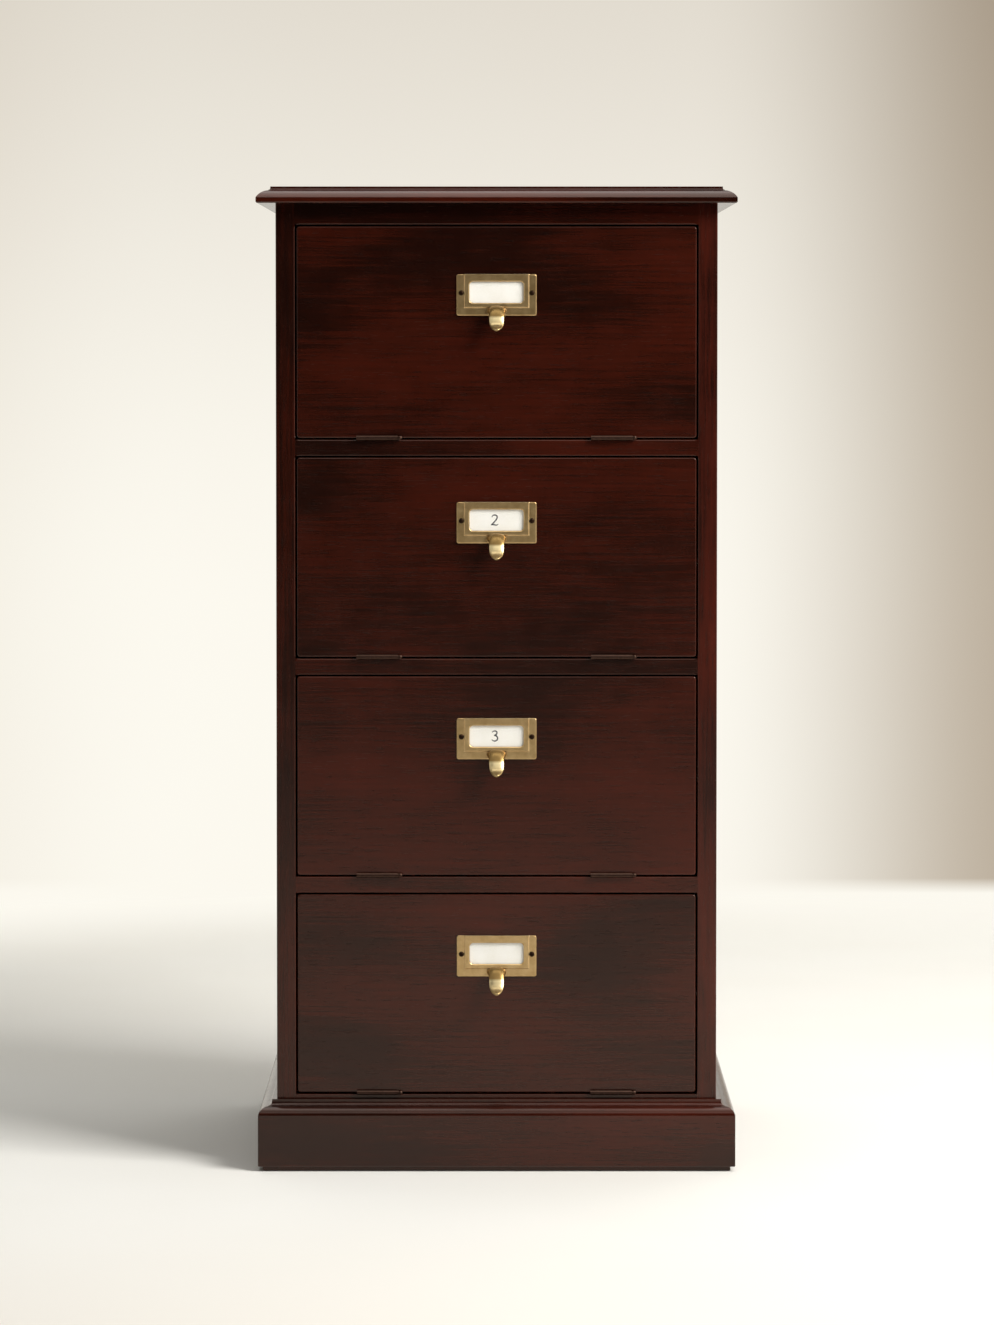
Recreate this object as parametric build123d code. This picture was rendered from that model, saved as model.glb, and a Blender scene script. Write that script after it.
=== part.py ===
from build123d import *

import os
from math import atan2, cos, hypot, radians, sin

# A sorting cabinet with four drop-front doors, on a moulded plinth. Millimetres.
# X runs to the right, Y to the back and Z up, from the bottom centre of the whole cabinet.

# Case
case_width = 457.2
case_depth = 381.0
panel_thickness = 19.0
floor_thickness = 12.0
back_thickness = 6.0
dado_depth = 6.0
back_rebate_width = 9.5
back_panel_overlap = 20.0
back_screw_inset = 4.5
back_screw_rows = 5
joint_clearance = 0.1

# Top board
top_thickness = 17.3
top_overhang = 19.5
top_fillet_height = 1.5
top_fillet_setback = 14.5
top_cove_radius = 1.9
top_step = 0.5
top_curve_bulge = 1.8
top_nose_height = 5.8
top_nose_radius = 1.9

# Plinth and glides
plinth_height = 68.2
plinth_thickness = 19.0
plinth_fillet_height = 2.4
plinth_fillet_setback = 14.0
plinth_cove_radius = 3.8
plinth_step = 0.4
plinth_ovolo_height = 8.2
plinth_ovolo_bulge = 2.3
plinth_toe_setback = 5.0
plinth_toe_clearance = 0.4
plinth_arris = 0.8
plinth_back_thickness = 16.0
plinth_side_screw_count = 3
plinth_front_screw_rise = 8.3
corner_block_size = 45.0
glide_height = 5.2
glide_radius = 11.0
glide_edge = 1.2
glide_nail_radius = 1.5
glide_nail_length = 16.0

# Face frame
frame_thickness = 19.0
stile_width = 19.8
rail_height = 16.7
top_rail_height = 21.8
bottom_rail_height = 42.0
bottom_rail_reveal = 4.3
tenon_length = 8.0
tenon_thickness = 6.0
tenon_shoulder = 3.0
frame_arris = 1.4
case_arris = 1.2
router_radius = 5.0
router_lift = 0.04

# Openings from the top one down
top_opening_height = 222.5
lower_opening_height = 210.5
opening_heights = (top_opening_height, lower_opening_height, lower_opening_height, lower_opening_height)

# Doors
door_thickness = 18.0
door_gap = 1.8
door_corner_radius = 3.0
door_arris = 1.4

# Butt hinges: the barrel stands in front of the face, a little above the middle of the gap
hinge_offset = 121.5
barrel_length = 43.0
knuckle_radius = 2.5
knuckle_gap = 0.2
pin_radius = 1.1
pin_clearance = 0.03
pin_forward = 2.6
pin_rise = 1.2
ball_radius = 2.2
ball_neck = 0.1
ball_neck_radius = 1.5
leaf_depth = 14.0
leaf_thickness = 1.2
leaf_clearance = 0.1
leaf_screw_spacing = 26.0
leaf_screw_edge = 5.9
knuckle_relief = 0.25

# Card holders, measured down from the middle of the gap above each door
holder_drops = (71.8, 68.4, 65.6, 65.0)
plate_width = 83.0
plate_height = 43.0
plate_thickness = 1.6
plate_corner_radius = 2.2
plate_edge = 1.2
bezel_width = 69.0
bezel_height = 35.6
bezel_depth = 2.8
bezel_bevel = 1.8
window_width = 56.0
window_height = 22.0
window_drop = 18.7
window_corner_radius = 4.0
window_flare = 0.9
card_slot_depth = 1.1
card_slot_margin = 2.4
card_thickness = 0.4
card_clearance = 0.3
card_top_drop = 1.2
holder_pin_spacing = 73.2
holder_pin_drop = 19.4
holder_pin_head_radius = 2.1
holder_pin_head_height = 0.9
holder_pin_head_edge = 0.7
holder_pin_radius = 0.8
holder_pin_length = 12.0

# Finger pull of a card holder, from its root on the plate to its tip
pull_reach = 27.0
pull_tip_drop = 16.4
pull_root_rise = 4.9
pull_root_width = 20.4
pull_width = 15.4
pull_taper_length = 17.0
pull_root_thickness = 11.2
pull_thickness = 3.6

# Slotted door stays on the right side
stay_pivot_height = 112.0
stay_pivot_standoff = 6.9
stay_start_angle = 20.0
door_open_angle = 90.0
stay_width = 12.0
stay_thickness = 1.5
stay_end_wall = 5.0
stay_slot_clearance = 0.1
stay_side_clearance = 2.1
stay_running_gap = 0.1
stud_radius = 2.5
stud_head_radius = 4.6
stud_head_thickness = 1.8
stud_collar_radius = 6.0
stud_thread_radius = 2.0
stud_thread_length = 14.0
rivet_radius = 2.0
rivet_clearance = 0.05
rivet_head_radius = 3.6
rivet_head_thickness = 1.2
bracket_thickness = 1.5
bracket_foot_width = 17.0
bracket_height = 26.0
bracket_corner_radius = 3.0
bracket_screw_spacing = 16.0

# Magnetic catches and strike plates at the top centre of each opening
catch_length = 46.0
catch_body_length = 28.0
catch_depth = 16.0
catch_flange = 4.0
catch_reach = 15.0
catch_gap = 0.3
catch_screw_spacing = 36.0
catch_edge = 1.0
pole_thickness = 0.8
pole_height = 10.0
pole_width = 8.0
pole_rise = 2.0
strike_width = 38.0
strike_margin = 0.6
strike_corner_radius = 2.0
strike_thickness = 1.2
strike_screw_spacing = 28.0
cleat_width = 20.0
cleat_screw_inset = 49.6

# Screws: head radius, shank radius, length, head height
leaf_screw = (2.4, 1.2, 12.0, 1.2)
panel_screw = (3.4, 1.7, 15.0, 1.8)
plinth_screw = (3.6, 2.0, 32.0, 2.4)
cleat_screw = (3.6, 2.0, 27.0, 2.4)
catch_screw = (2.6, 1.3, 13.0, 1.6)
strike_screw = (2.2, 1.1, 9.0, 1.0)
bracket_screw = (2.8, 1.4, 12.0, 1.3)
screw_clearance = 0.05
driver_slot_width = 0.8
driver_slot_share = 0.5

# Planes and levels that follow from the sizes above
face_y = -(case_depth - pull_reach) / 2
frame_back_y = face_y + frame_thickness
door_back_y = face_y + door_thickness
back_y = face_y + case_depth
back_front_y = back_y - back_thickness
half_width = case_width / 2
panel_inner_x = half_width - panel_thickness
stile_inner_x = half_width - stile_width
plinth_top = glide_height + plinth_height
bottom_rail_top = plinth_top + bottom_rail_reveal
top_underside = bottom_rail_top + sum(opening_heights) + 3 * rail_height + top_rail_height
top_surface = top_underside + top_thickness
ceiling_rise = rail_height - floor_thickness
plinth_floor_z = bottom_rail_top - floor_thickness


# Bottom and top of each opening, the top opening first
def opening_levels():
    levels = []
    bottom = bottom_rail_top
    for height in reversed(opening_heights):
        levels.insert(0, (bottom, bottom + height))
        bottom += height + rail_height
    return levels


openings = opening_levels()


# A box given by its limits along X, Y and Z
def block(x_limits, y_limits, z_limits):
    limits = (x_limits, y_limits, z_limits)
    centre = [(low + high) / 2 for low, high in limits]
    size = [high - low for low, high in limits]
    return Pos(*centre) * Box(*size)


# A round bar from one point to another
def bar(start, end, radius):
    axis = Vector(*end) - Vector(*start)
    plane = Plane(origin=start, z_dir=axis)
    return extrude(plane * Circle(radius), amount=axis.length)


# Separate solids that share one node
def group(shapes):
    return Compound(children=[solid for shape in shapes for solid in shape.solids()])


def cut(shape, tools):
    for tool in tools:
        shape = shape - tool
    return shape


# A countersunk wood screw whose head is flush with point and whose shank runs along direction
def screw(size, point, direction):
    head, shank, length, head_height = size
    plane = Plane(origin=point, z_dir=direction)
    tip = 1.5 * shank
    outline = Polyline(
        (0, 0), (head, 0), (shank, head_height), (shank, length - tip), (0, length), (0, 0)
    )
    body = revolve(Plane.XZ * make_face(outline), Axis.Z)
    slot_depth = driver_slot_share * head_height
    slot = Pos(0, 0, slot_depth / 2) * Box(2.2 * head, driver_slot_width, slot_depth)
    return plane.location * (body - slot)


# The hole for such a screw, a little wider and deeper than the screw
def screw_hole(size, point, direction):
    head, shank, length, head_height = size
    plane = Plane(origin=point, z_dir=direction)
    wide_head = head + screw_clearance
    wide_shank = shank + screw_clearance
    deep = length + 4 * screw_clearance
    outline = Polyline(
        (0, -1), (wide_head, -1), (wide_head, 0), (wide_shank, head_height), (wide_shank, deep),
        (0, deep), (0, -1),
    )
    return plane.location * revolve(Plane.XZ * make_face(outline), Axis.Z)


# Planes in which a moulding's section is drawn: its x runs outwards from the case
front_section = Plane(origin=(0, face_y, 0), x_dir=(0, -1, 0), z_dir=(-1, 0, 0))
right_section = Plane(origin=(half_width, 0, 0), x_dir=(1, 0, 0), z_dir=(0, -1, 0))
left_section = Plane(origin=(-half_width, 0, 0), x_dir=(-1, 0, 0), z_dir=(0, 1, 0))


def prism(section_plane, section):
    return extrude(section_plane * section, amount=case_width + case_depth, both=True)


# Arc that swells outwards and upwards between the low and the high end of a moulding's curve
def swelling(low, high, bulge):
    width = low[0] - high[0]
    height = high[1] - low[1]
    chord = hypot(width, height)
    crest_x = high[0] + width / 2 + bulge * height / chord
    crest_z = low[1] + height / 2 + bulge * width / chord
    return ThreePointArc(low, (crest_x, crest_z), high)


# Section of the top board: a fillet, a cove, a step, a shallow curve and a nose with an eased underside
def top_section(inner):
    cove_x = top_overhang - top_fillet_setback + top_cove_radius
    cove_z = top_surface - top_fillet_height
    step_z = cove_z - top_cove_radius - top_step
    nose_top = top_underside + top_nose_height
    edge = [
        Polyline(
            (cove_x - top_cove_radius, cove_z), (cove_x - top_cove_radius, top_surface),
            (inner, top_surface), (inner, top_underside), (top_overhang - top_nose_radius, top_underside),
        ),
        RadiusArc(
            (top_overhang - top_nose_radius, top_underside),
            (top_overhang, top_underside + top_nose_radius), -top_nose_radius,
        ),
        Line((top_overhang, top_underside + top_nose_radius), (top_overhang, nose_top)),
        swelling((top_overhang, nose_top), (cove_x, step_z), top_curve_bulge),
        Line((cove_x, step_z), (cove_x, cove_z - top_cove_radius)),
        CenterArc((cove_x, cove_z), top_cove_radius, 180, 90),
    ]
    return make_face(Curve() + edge)


# Section of a plinth board: a recessed toe, a plain face, an ovolo, a step, a cove and a fillet under a flat top
def plinth_section():
    cove_x = plinth_thickness - plinth_fillet_setback + plinth_cove_radius
    cove_z = plinth_top - plinth_fillet_height
    ovolo_top = cove_z - plinth_cove_radius - plinth_step
    ovolo_bottom = ovolo_top - plinth_ovolo_height
    toe_x = plinth_thickness - plinth_toe_setback
    edge = [
        Polyline(
            (cove_x - plinth_cove_radius, cove_z), (cove_x - plinth_cove_radius, plinth_top),
            (0, plinth_top), (0, plinth_toe_clearance), (toe_x, plinth_toe_clearance), (toe_x, glide_height),
            (plinth_thickness - plinth_arris, glide_height),
            (plinth_thickness, glide_height + plinth_arris), (plinth_thickness, ovolo_bottom),
        ),
        swelling((plinth_thickness, ovolo_bottom), (cove_x, ovolo_top), plinth_ovolo_bulge),
        Line((cove_x, ovolo_top), (cove_x, cove_z - plinth_cove_radius)),
        CenterArc((cove_x, cove_z), plinth_cove_radius, 180, 90),
    ]
    return make_face(Curve() + edge)


# Places of the screws, each with the direction in which it is driven
cleat_front_y = frame_back_y + cleat_width / 2
cleat_back_y = back_front_y - cleat_width / 2
cleat_side_x = panel_inner_x - cleat_width / 2
cleat_height = top_rail_height - ceiling_rise
cleat_underside = top_underside - cleat_height
cleat_screw_x = panel_inner_x - cleat_screw_inset
case_middle_y = (frame_back_y + back_front_y) / 2
cleat_screws = [((x, y, cleat_underside), (0, 0, 1)) for x in (-cleat_screw_x, cleat_screw_x)
                for y in (cleat_front_y, cleat_back_y)]
cleat_screws += [((x, case_middle_y, cleat_underside), (0, 0, 1)) for x in (-cleat_side_x, cleat_side_x)]

plinth_screw_z = glide_height + plinth_height / 2
plinth_screw_pitch = (back_front_y - frame_back_y) / (plinth_side_screw_count + 1)
plinth_screw_ys = [frame_back_y + (row + 1) * plinth_screw_pitch for row in range(plinth_side_screw_count)]
plinth_side_screws = [((side * panel_inner_x, y, plinth_screw_z), (side, 0, 0))
                      for side in (-1, 1) for y in plinth_screw_ys]
plinth_front_screws = [((x, frame_back_y, plinth_screw_z + plinth_front_screw_rise), (0, -1, 0))
                       for x in (-cleat_screw_x, 0, cleat_screw_x)]

back_half_width = panel_inner_x + back_rebate_width - joint_clearance
back_panel_bottom = plinth_floor_z - back_panel_overlap
back_screw_pitch = (top_underside - plinth_top) / back_screw_rows
back_screw_zs = [plinth_top + (row + 0.5) * back_screw_pitch for row in range(back_screw_rows)]
back_screws = [((side * (back_half_width - back_screw_inset), back_y, z), (0, -1, 0))
               for side in (-1, 1) for z in back_screw_zs]


# Ceiling over each compartment, where its catch is screwed on
def ceiling(opening_top):
    return opening_top + ceiling_rise


catch_front_y = door_back_y + strike_thickness + catch_gap
catch_y = catch_front_y + pole_thickness + catch_depth / 2
catch_screws = [((side * catch_screw_spacing / 2, catch_y, ceiling(top) - catch_flange), (0, 0, 1))
                for bottom, top in openings for side in (-1, 1)]


# Height of the hinge pin above the floor for a door over this level
def pin_height(opening_bottom):
    return opening_bottom + door_gap / 2 + pin_rise


pin_y = face_y - pin_forward


# Left end of each hinge barrel; the ball tip makes the whole hinge longer to the right
def barrel_starts():
    whole = barrel_length + ball_neck + 2 * ball_radius
    return [side * hinge_offset - whole / 2 for side in (-1, 1)]


leaf_screw_y = face_y + leaf_depth - leaf_screw_edge


def leaf_screw_points(opening_bottom):
    leaf_top = pin_height(opening_bottom) - knuckle_radius + leaf_thickness
    return [(start + barrel_length / 2 + side * leaf_screw_spacing / 2, leaf_screw_y, leaf_top)
            for start in barrel_starts() for side in (-1, 1)]


def door_leaf_screw_points(opening_bottom):
    return [(x, y, opening_bottom + door_gap) for x, y, z in leaf_screw_points(opening_bottom)]


# The door stay: bracket pivot and frame stud lie on one circle about the hinge pin
pivot_back = pin_forward + door_thickness + stay_pivot_standoff
stay_circle = hypot(pivot_back, stay_pivot_height)
pivot_angle = atan2(stay_pivot_height, pivot_back)
stud_angle = pivot_angle - radians(stay_start_angle)
stay_closed_length = 2 * stay_circle * sin(radians(stay_start_angle) / 2)
stay_open_length = 2 * stay_circle * sin(radians(stay_start_angle + door_open_angle) / 2)
stay_outer_x = panel_inner_x - stay_side_clearance - stay_running_gap - rivet_head_thickness
stay_inner_x = stay_outer_x - stay_thickness


def stay_pivot(opening_bottom):
    return pin_y + pivot_back, pin_height(opening_bottom) + stay_pivot_height


def stay_stud(opening_bottom):
    rise = stay_circle * sin(stud_angle)
    return pin_y + stay_circle * cos(stud_angle), pin_height(opening_bottom) + rise


# Top board
def top_board():
    side = top_section(-case_width - top_overhang)
    shape = prism(front_section, top_section(-case_depth))
    shape = shape & prism(right_section, side) & prism(left_section, side)
    return cut(shape, [screw_hole(cleat_screw, *place) for place in cleat_screws])


# Side panel with dados for the floors and a rebate for the back
def side_panel(side):
    x_limits = sorted((side * panel_inner_x, side * half_width))
    shape = block(x_limits, (frame_back_y, back_y), (glide_height, top_underside))
    dado_x = sorted((side * (panel_inner_x - 1), side * (panel_inner_x + dado_depth)))
    rebate_x = sorted((side * (panel_inner_x - 1), side * (panel_inner_x + back_rebate_width)))
    tools = [
        block(dado_x, (frame_back_y - 1, back_y + 1),
              (bottom - floor_thickness - joint_clearance, bottom + joint_clearance))
        for bottom, top in openings
    ]
    tools.append(block(rebate_x, (back_front_y, back_y + 1), (back_panel_bottom, top_underside + 1)))
    tools += [screw_hole(plinth_screw, *place) for place in plinth_side_screws if place[1][0] == side]
    tools += [screw_hole(panel_screw, *place) for place in back_screws if place[0][0] * side > 0]
    if side > 0:
        tools += [stud_hole(bottom) for bottom, top in openings]
    return cut(shape, tools)


def stud_hole(opening_bottom):
    y, z = stay_stud(opening_bottom)
    end_x = panel_inner_x + stud_thread_length + screw_clearance
    return bar((panel_inner_x - 1, y, z), (end_x, y, z), stud_thread_radius + screw_clearance)


# Back panel, screwed into the rebates
def back_panel():
    levels = (back_panel_bottom, top_underside)
    shape = block((-back_half_width, back_half_width), (back_front_y, back_y), levels)
    return cut(shape, [screw_hole(panel_screw, *place) for place in back_screws])


# Router pass round one opening of the assembled frame: its rounded edge dies out in the square corners
def router_pass(opening):
    bottom, top = opening
    middle = (bottom + top) / 2
    centre = Plane(origin=(0, face_y - router_lift, middle), x_dir=(1, 0, 0), z_dir=(0, 1, 0))
    width = 2 * (stile_inner_x - router_lift)
    height = top - bottom - 2 * router_lift
    margin = 4 * frame_arris
    slab = extrude(centre * Rectangle(width + margin, height + margin), amount=2 * frame_arris)
    ring = slab - extrude(centre * RectangleRounded(width, height, router_radius), amount=2 * frame_arris)
    rim = ring.faces().sort_by(Axis.Y)[0].inner_wires()[0].edges()
    return slab - fillet(rim, frame_arris)


# Stile with mortises for the rails
def stile(side):
    x_limits = sorted((side * stile_inner_x, side * half_width))
    shape = block(x_limits, (face_y, frame_back_y), (glide_height, top_underside))
    outer = shape.edges().filter_by(Axis.Z).sort_by(Axis.Y)[:2].sort_by(Axis.X)[-1 if side > 0 else 0]
    shape = fillet(outer, case_arris)
    mortises = [tenon(side, low, high, joint_clearance) for low, high in rail_levels()]
    return cut(shape, mortises + [router_pass(opening) for opening in openings])


# Bottom and top of every rail, the top rail first
def rail_levels():
    levels = [(openings[0][1], top_underside)]
    levels += [(bottom - rail_height, bottom) for bottom, top in openings[:-1]]
    levels.append((bottom_rail_top - bottom_rail_height, bottom_rail_top))
    return levels


# Stub tenon of a rail; with a clearance it is the mortise
def tenon(side, low, high, clearance):
    reach = stile_inner_x + tenon_length + clearance
    x_limits = sorted((side * (stile_inner_x - clearance), side * reach))
    half = tenon_thickness / 2 + clearance
    middle = face_y + frame_thickness / 2
    z_limits = (low + tenon_shoulder - clearance, high - tenon_shoulder + clearance)
    return block(x_limits, (middle - half, middle + half), z_limits)


# Rail between the stiles, with hinge mortises in its top edge where a door stands on it
def rail(number):
    low, high = rail_levels()[number]
    shape = block((-stile_inner_x, stile_inner_x), (face_y, frame_back_y), (low, high))
    for side in (-1, 1):
        shape = shape + tenon(side, low, high, 0)
    shape = cut(shape, [router_pass(opening) for opening in openings[max(number - 1, 0):number + 1]])
    if number == 0:
        return shape
    leaf_bottom = pin_height(high) - knuckle_radius
    tools = [
        block((start - leaf_clearance, start + barrel_length + leaf_clearance),
              (face_y - 1, face_y + leaf_depth + leaf_clearance), (leaf_bottom, high + 1))
        for start in barrel_starts()
    ]
    tools += [screw_hole(leaf_screw, point, (0, 0, -1)) for point in leaf_screw_points(high)]
    if number == len(openings):
        tools += [screw_hole(plinth_screw, *place) for place in plinth_front_screws]
    return cut(shape, tools)


# Compartment floor, let into the side panels and flush with its rail
def compartment_floor(number):
    opening_bottom = openings[number - 1][0]
    catch_places = catch_screws[2 * number:2 * number + 2]
    reach = panel_inner_x + dado_depth - joint_clearance
    levels = (opening_bottom - floor_thickness, opening_bottom)
    shape = block((-reach, reach), (frame_back_y, back_front_y), levels)
    return cut(shape, [screw_hole(catch_screw, *place) for place in catch_places])


# Plinth board, cut from its moulding by a wedge in plan that gives the mitres
def plinth_board(section_plane, corners, screws):
    wedge = extrude(Plane.XY * make_face(Polyline(*corners, corners[0])), amount=plinth_top)
    shape = prism(section_plane, plinth_section()) & wedge
    return cut(shape, [screw_hole(plinth_screw, *place) for place in screws])


def plinth_front():
    outer = half_width + plinth_thickness
    front = face_y - plinth_thickness
    corners = [(-outer, front), (outer, front), (half_width, face_y), (-half_width, face_y)]
    return plinth_board(front_section, corners, plinth_front_screws)


def plinth_side(side):
    outer = side * (half_width + plinth_thickness)
    inner = side * half_width
    corners = [(inner, face_y), (outer, face_y - plinth_thickness), (outer, back_y), (inner, back_y)]
    screws = [place for place in plinth_side_screws if place[1][0] == side]
    return plinth_board(right_section if side > 0 else left_section, corners, screws)


def plinth_back():
    return block((-panel_inner_x, panel_inner_x), (back_front_y - plinth_back_thickness, back_front_y),
                 (glide_height, plinth_floor_z))


# Centres of the blocks in the four corners of the plinth
def corner_centres():
    x = panel_inner_x - corner_block_size / 2
    front = frame_back_y + corner_block_size / 2
    back = back_front_y - plinth_back_thickness - corner_block_size / 2
    return [(side * x, y) for side in (-1, 1) for y in (front, back)]


def corner_blocks():
    half = corner_block_size / 2
    blocks = []
    for x, y in corner_centres():
        shape = block((x - half, x + half), (y - half, y + half), (glide_height, plinth_floor_z))
        nail_top = glide_height + glide_nail_length + screw_clearance
        hole = bar((x, y, glide_height - 1), (x, y, nail_top), glide_nail_radius + screw_clearance)
        screw_holes = [screw_hole(plinth_screw, *place) for place in plinth_side_screws]
        blocks.append(cut(shape - hole, screw_holes))
    return group(blocks)


# Nail-on glides under the corner blocks
def glides():
    feet = []
    for x, y in corner_centres():
        foot = bar((x, y, 0), (x, y, glide_height), glide_radius)
        foot = fillet(foot.edges().filter_by(GeomType.CIRCLE).sort_by(Axis.Z)[0], glide_edge)
        nail_top = glide_height + glide_nail_length
        feet.append(foot + bar((x, y, glide_height), (x, y, nail_top), glide_nail_radius))
    return group(feet)


# Cleats that hold the top board, and the cleat behind the top rail that carries the first catch
def top_cleats():
    levels = (cleat_underside, top_underside)
    side_limits = (frame_back_y + cleat_width, back_front_y - cleat_width)
    shapes = [
        block((-panel_inner_x, panel_inner_x), (frame_back_y, frame_back_y + cleat_width), levels),
        block((-panel_inner_x, panel_inner_x), (back_front_y - cleat_width, back_front_y), levels),
        block((-panel_inner_x, -panel_inner_x + cleat_width), side_limits, levels),
        block((panel_inner_x - cleat_width, panel_inner_x), side_limits, levels),
    ]
    holes = [screw_hole(cleat_screw, *place) for place in cleat_screws]
    holes += [screw_hole(catch_screw, *place) for place in catch_screws[:2]]
    return group([cut(shape, holes) for shape in shapes])


def carcass_screws():
    shapes = [screw(cleat_screw, *place) for place in cleat_screws]
    shapes += [screw(plinth_screw, *place) for place in plinth_side_screws + plinth_front_screws]
    shapes += [screw(panel_screw, *place) for place in back_screws]
    shapes += [screw(catch_screw, *place) for place in catch_screws]
    return group(shapes)


# Spans of a barrel's three knuckles: the outer two are on the frame, the middle one on the door
def knuckle_spans(start):
    length = (barrel_length - 2 * knuckle_gap) / 3
    lows = [start + number * (length + knuckle_gap) for number in range(3)]
    return [(low, low + length) for low in lows]


# A hinge leaf with its knuckles; the leaf is cut back round the other leaf's knuckles
def hinge_leaf(start, opening_bottom, leaf_levels, own, others):
    z = pin_height(opening_bottom)
    leaf = block((start, start + barrel_length), (pin_y, face_y + leaf_depth), leaf_levels)
    relief = knuckle_radius + knuckle_relief
    for low, high in others:
        leaf = leaf - bar((low - knuckle_gap, pin_y, z), (high + knuckle_gap, pin_y, z), relief)
    for low, high in own:
        leaf = leaf + bar((low, pin_y, z), (high, pin_y, z), knuckle_radius)
    end = start + barrel_length
    return leaf - bar((start - 1, pin_y, z), (end + 1, pin_y, z), pin_radius + pin_clearance)


def frame_hinge_leaves():
    leaves = []
    for bottom, top in openings:
        leaf_bottom = pin_height(bottom) - knuckle_radius
        levels = (leaf_bottom, leaf_bottom + leaf_thickness)
        holes = [screw_hole(leaf_screw, point, (0, 0, -1)) for point in leaf_screw_points(bottom)]
        for start in barrel_starts():
            spans = knuckle_spans(start)
            leaves.append(cut(hinge_leaf(start, bottom, levels, spans[::2], spans[1:2]), holes))
    return group(leaves)


def door_hinge_leaves(opening_bottom):
    leaves = []
    levels = (opening_bottom + door_gap, opening_bottom + door_gap + leaf_thickness)
    holes = [screw_hole(leaf_screw, point, (0, 0, 1)) for point in door_leaf_screw_points(opening_bottom)]
    for start in barrel_starts():
        spans = knuckle_spans(start)
        leaves.append(cut(hinge_leaf(start, opening_bottom, levels, spans[1:2], spans[::2]), holes))
    return group(leaves)


# Hinge pins with a ball tip at the right end of each barrel
def hinge_pins():
    pins = []
    for bottom, top in openings:
        z = pin_height(bottom)
        for start in barrel_starts():
            ball_x = start + barrel_length + ball_neck + ball_radius
            pin = bar((start, pin_y, z), (ball_x, pin_y, z), pin_radius)
            neck = bar((ball_x - ball_radius, pin_y, z), (ball_x, pin_y, z), ball_neck_radius)
            pins.append(pin + neck + Pos(ball_x, pin_y, z) * Sphere(ball_radius))
    return group(pins)


def hinge_screws():
    return group([screw(leaf_screw, point, (0, 0, -1)) for bottom, top in openings
                  for point in leaf_screw_points(bottom)])


# Magnetic catches: a flanged case with two steel poles towards the strike plate
def magnetic_catches():
    catches = []
    front = catch_front_y + pole_thickness
    y_limits = (front, front + catch_depth)
    for bottom, top in openings:
        roof = ceiling(top)
        floor = top - catch_reach
        flange = block((-catch_length / 2, catch_length / 2), y_limits, (roof - catch_flange, roof))
        body = block((-catch_body_length / 2, catch_body_length / 2), y_limits, (floor, roof))
        body = chamfer(body.edges().filter_by(Axis.X).sort_by(Axis.Z)[:2], catch_edge)
        shape = flange + body
        for side in (-1, 1):
            x = side * catch_body_length / 4
            pole_levels = (floor + pole_rise, floor + pole_rise + pole_height)
            pole_limits = (x - pole_width / 2, x + pole_width / 2)
            shape = shape + block(pole_limits, (catch_front_y, front + 1), pole_levels)
        points = [(side * catch_screw_spacing / 2, catch_y, roof - catch_flange) for side in (-1, 1)]
        catches.append(cut(shape, [screw_hole(catch_screw, point, (0, 0, 1)) for point in points]))
    return group(catches)


# Shoulder studs in the right side panel, on which the slotted stays slide
def stay_studs():
    studs = []
    collar_x = stay_outer_x + stay_running_gap
    head_x = stay_inner_x - stay_running_gap
    for bottom, top in openings:
        y, z = stay_stud(bottom)
        stud = bar((panel_inner_x, y, z), (panel_inner_x + stud_thread_length, y, z), stud_thread_radius)
        stud = stud + bar((collar_x, y, z), (panel_inner_x, y, z), stud_collar_radius)
        stud = stud + bar((head_x, y, z), (collar_x, y, z), stud_radius)
        head = bar((head_x - stud_head_thickness, y, z), (head_x, y, z), stud_head_radius)
        slot_x = (head_x - stud_head_thickness - 1, head_x - stud_head_thickness / 2)
        slot = block(slot_x, (y - stud_head_radius, y + stud_head_radius),
                     (z - driver_slot_width / 2, z + driver_slot_width / 2))
        studs.append(stud + (head - slot))
    return group(studs)


# Where the door's pieces are screwed on
def door_half_width():
    return stile_inner_x - door_gap


def holder_centre(index):
    return openings[index][1] - door_gap / 2 - holder_drops[index]


def holder_pin_points(index):
    z = holder_centre(index) + plate_height / 2 - holder_pin_drop
    return [(side * holder_pin_spacing / 2, face_y - plate_thickness, z) for side in (-1, 1)]


def strike_centre(opening_top):
    return opening_top - catch_reach + pole_rise + pole_height / 2


def strike_screw_points(opening_top):
    z = strike_centre(opening_top)
    return [(side * strike_screw_spacing / 2, door_back_y + strike_thickness, z) for side in (-1, 1)]


ear_outer_x = stay_inner_x - stay_running_gap
ear_inner_x = ear_outer_x - bracket_thickness
foot_inner_x = ear_outer_x - bracket_foot_width


def bracket_screw_points(opening_bottom):
    y, z = stay_pivot(opening_bottom)
    x = (foot_inner_x + ear_inner_x) / 2
    foot_y = door_back_y + bracket_thickness
    return [(x, foot_y, z + side * bracket_screw_spacing / 2) for side in (-1, 1)]


# Round-head pin that holds a card holder; with a clearance it is its hole
def holder_pin(point, clearance):
    x, y, z = point
    end = (x, y + holder_pin_length + clearance, z)
    shank = bar((x, y - clearance, z), end, holder_pin_radius + clearance)
    if clearance:
        return shank
    head = bar((x, y - holder_pin_head_height, z), (x, y, z), holder_pin_head_radius)
    rim = head.edges().filter_by(GeomType.CIRCLE).sort_by(Axis.Y)[0]
    return shank + fillet(rim, holder_pin_head_edge)


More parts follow.
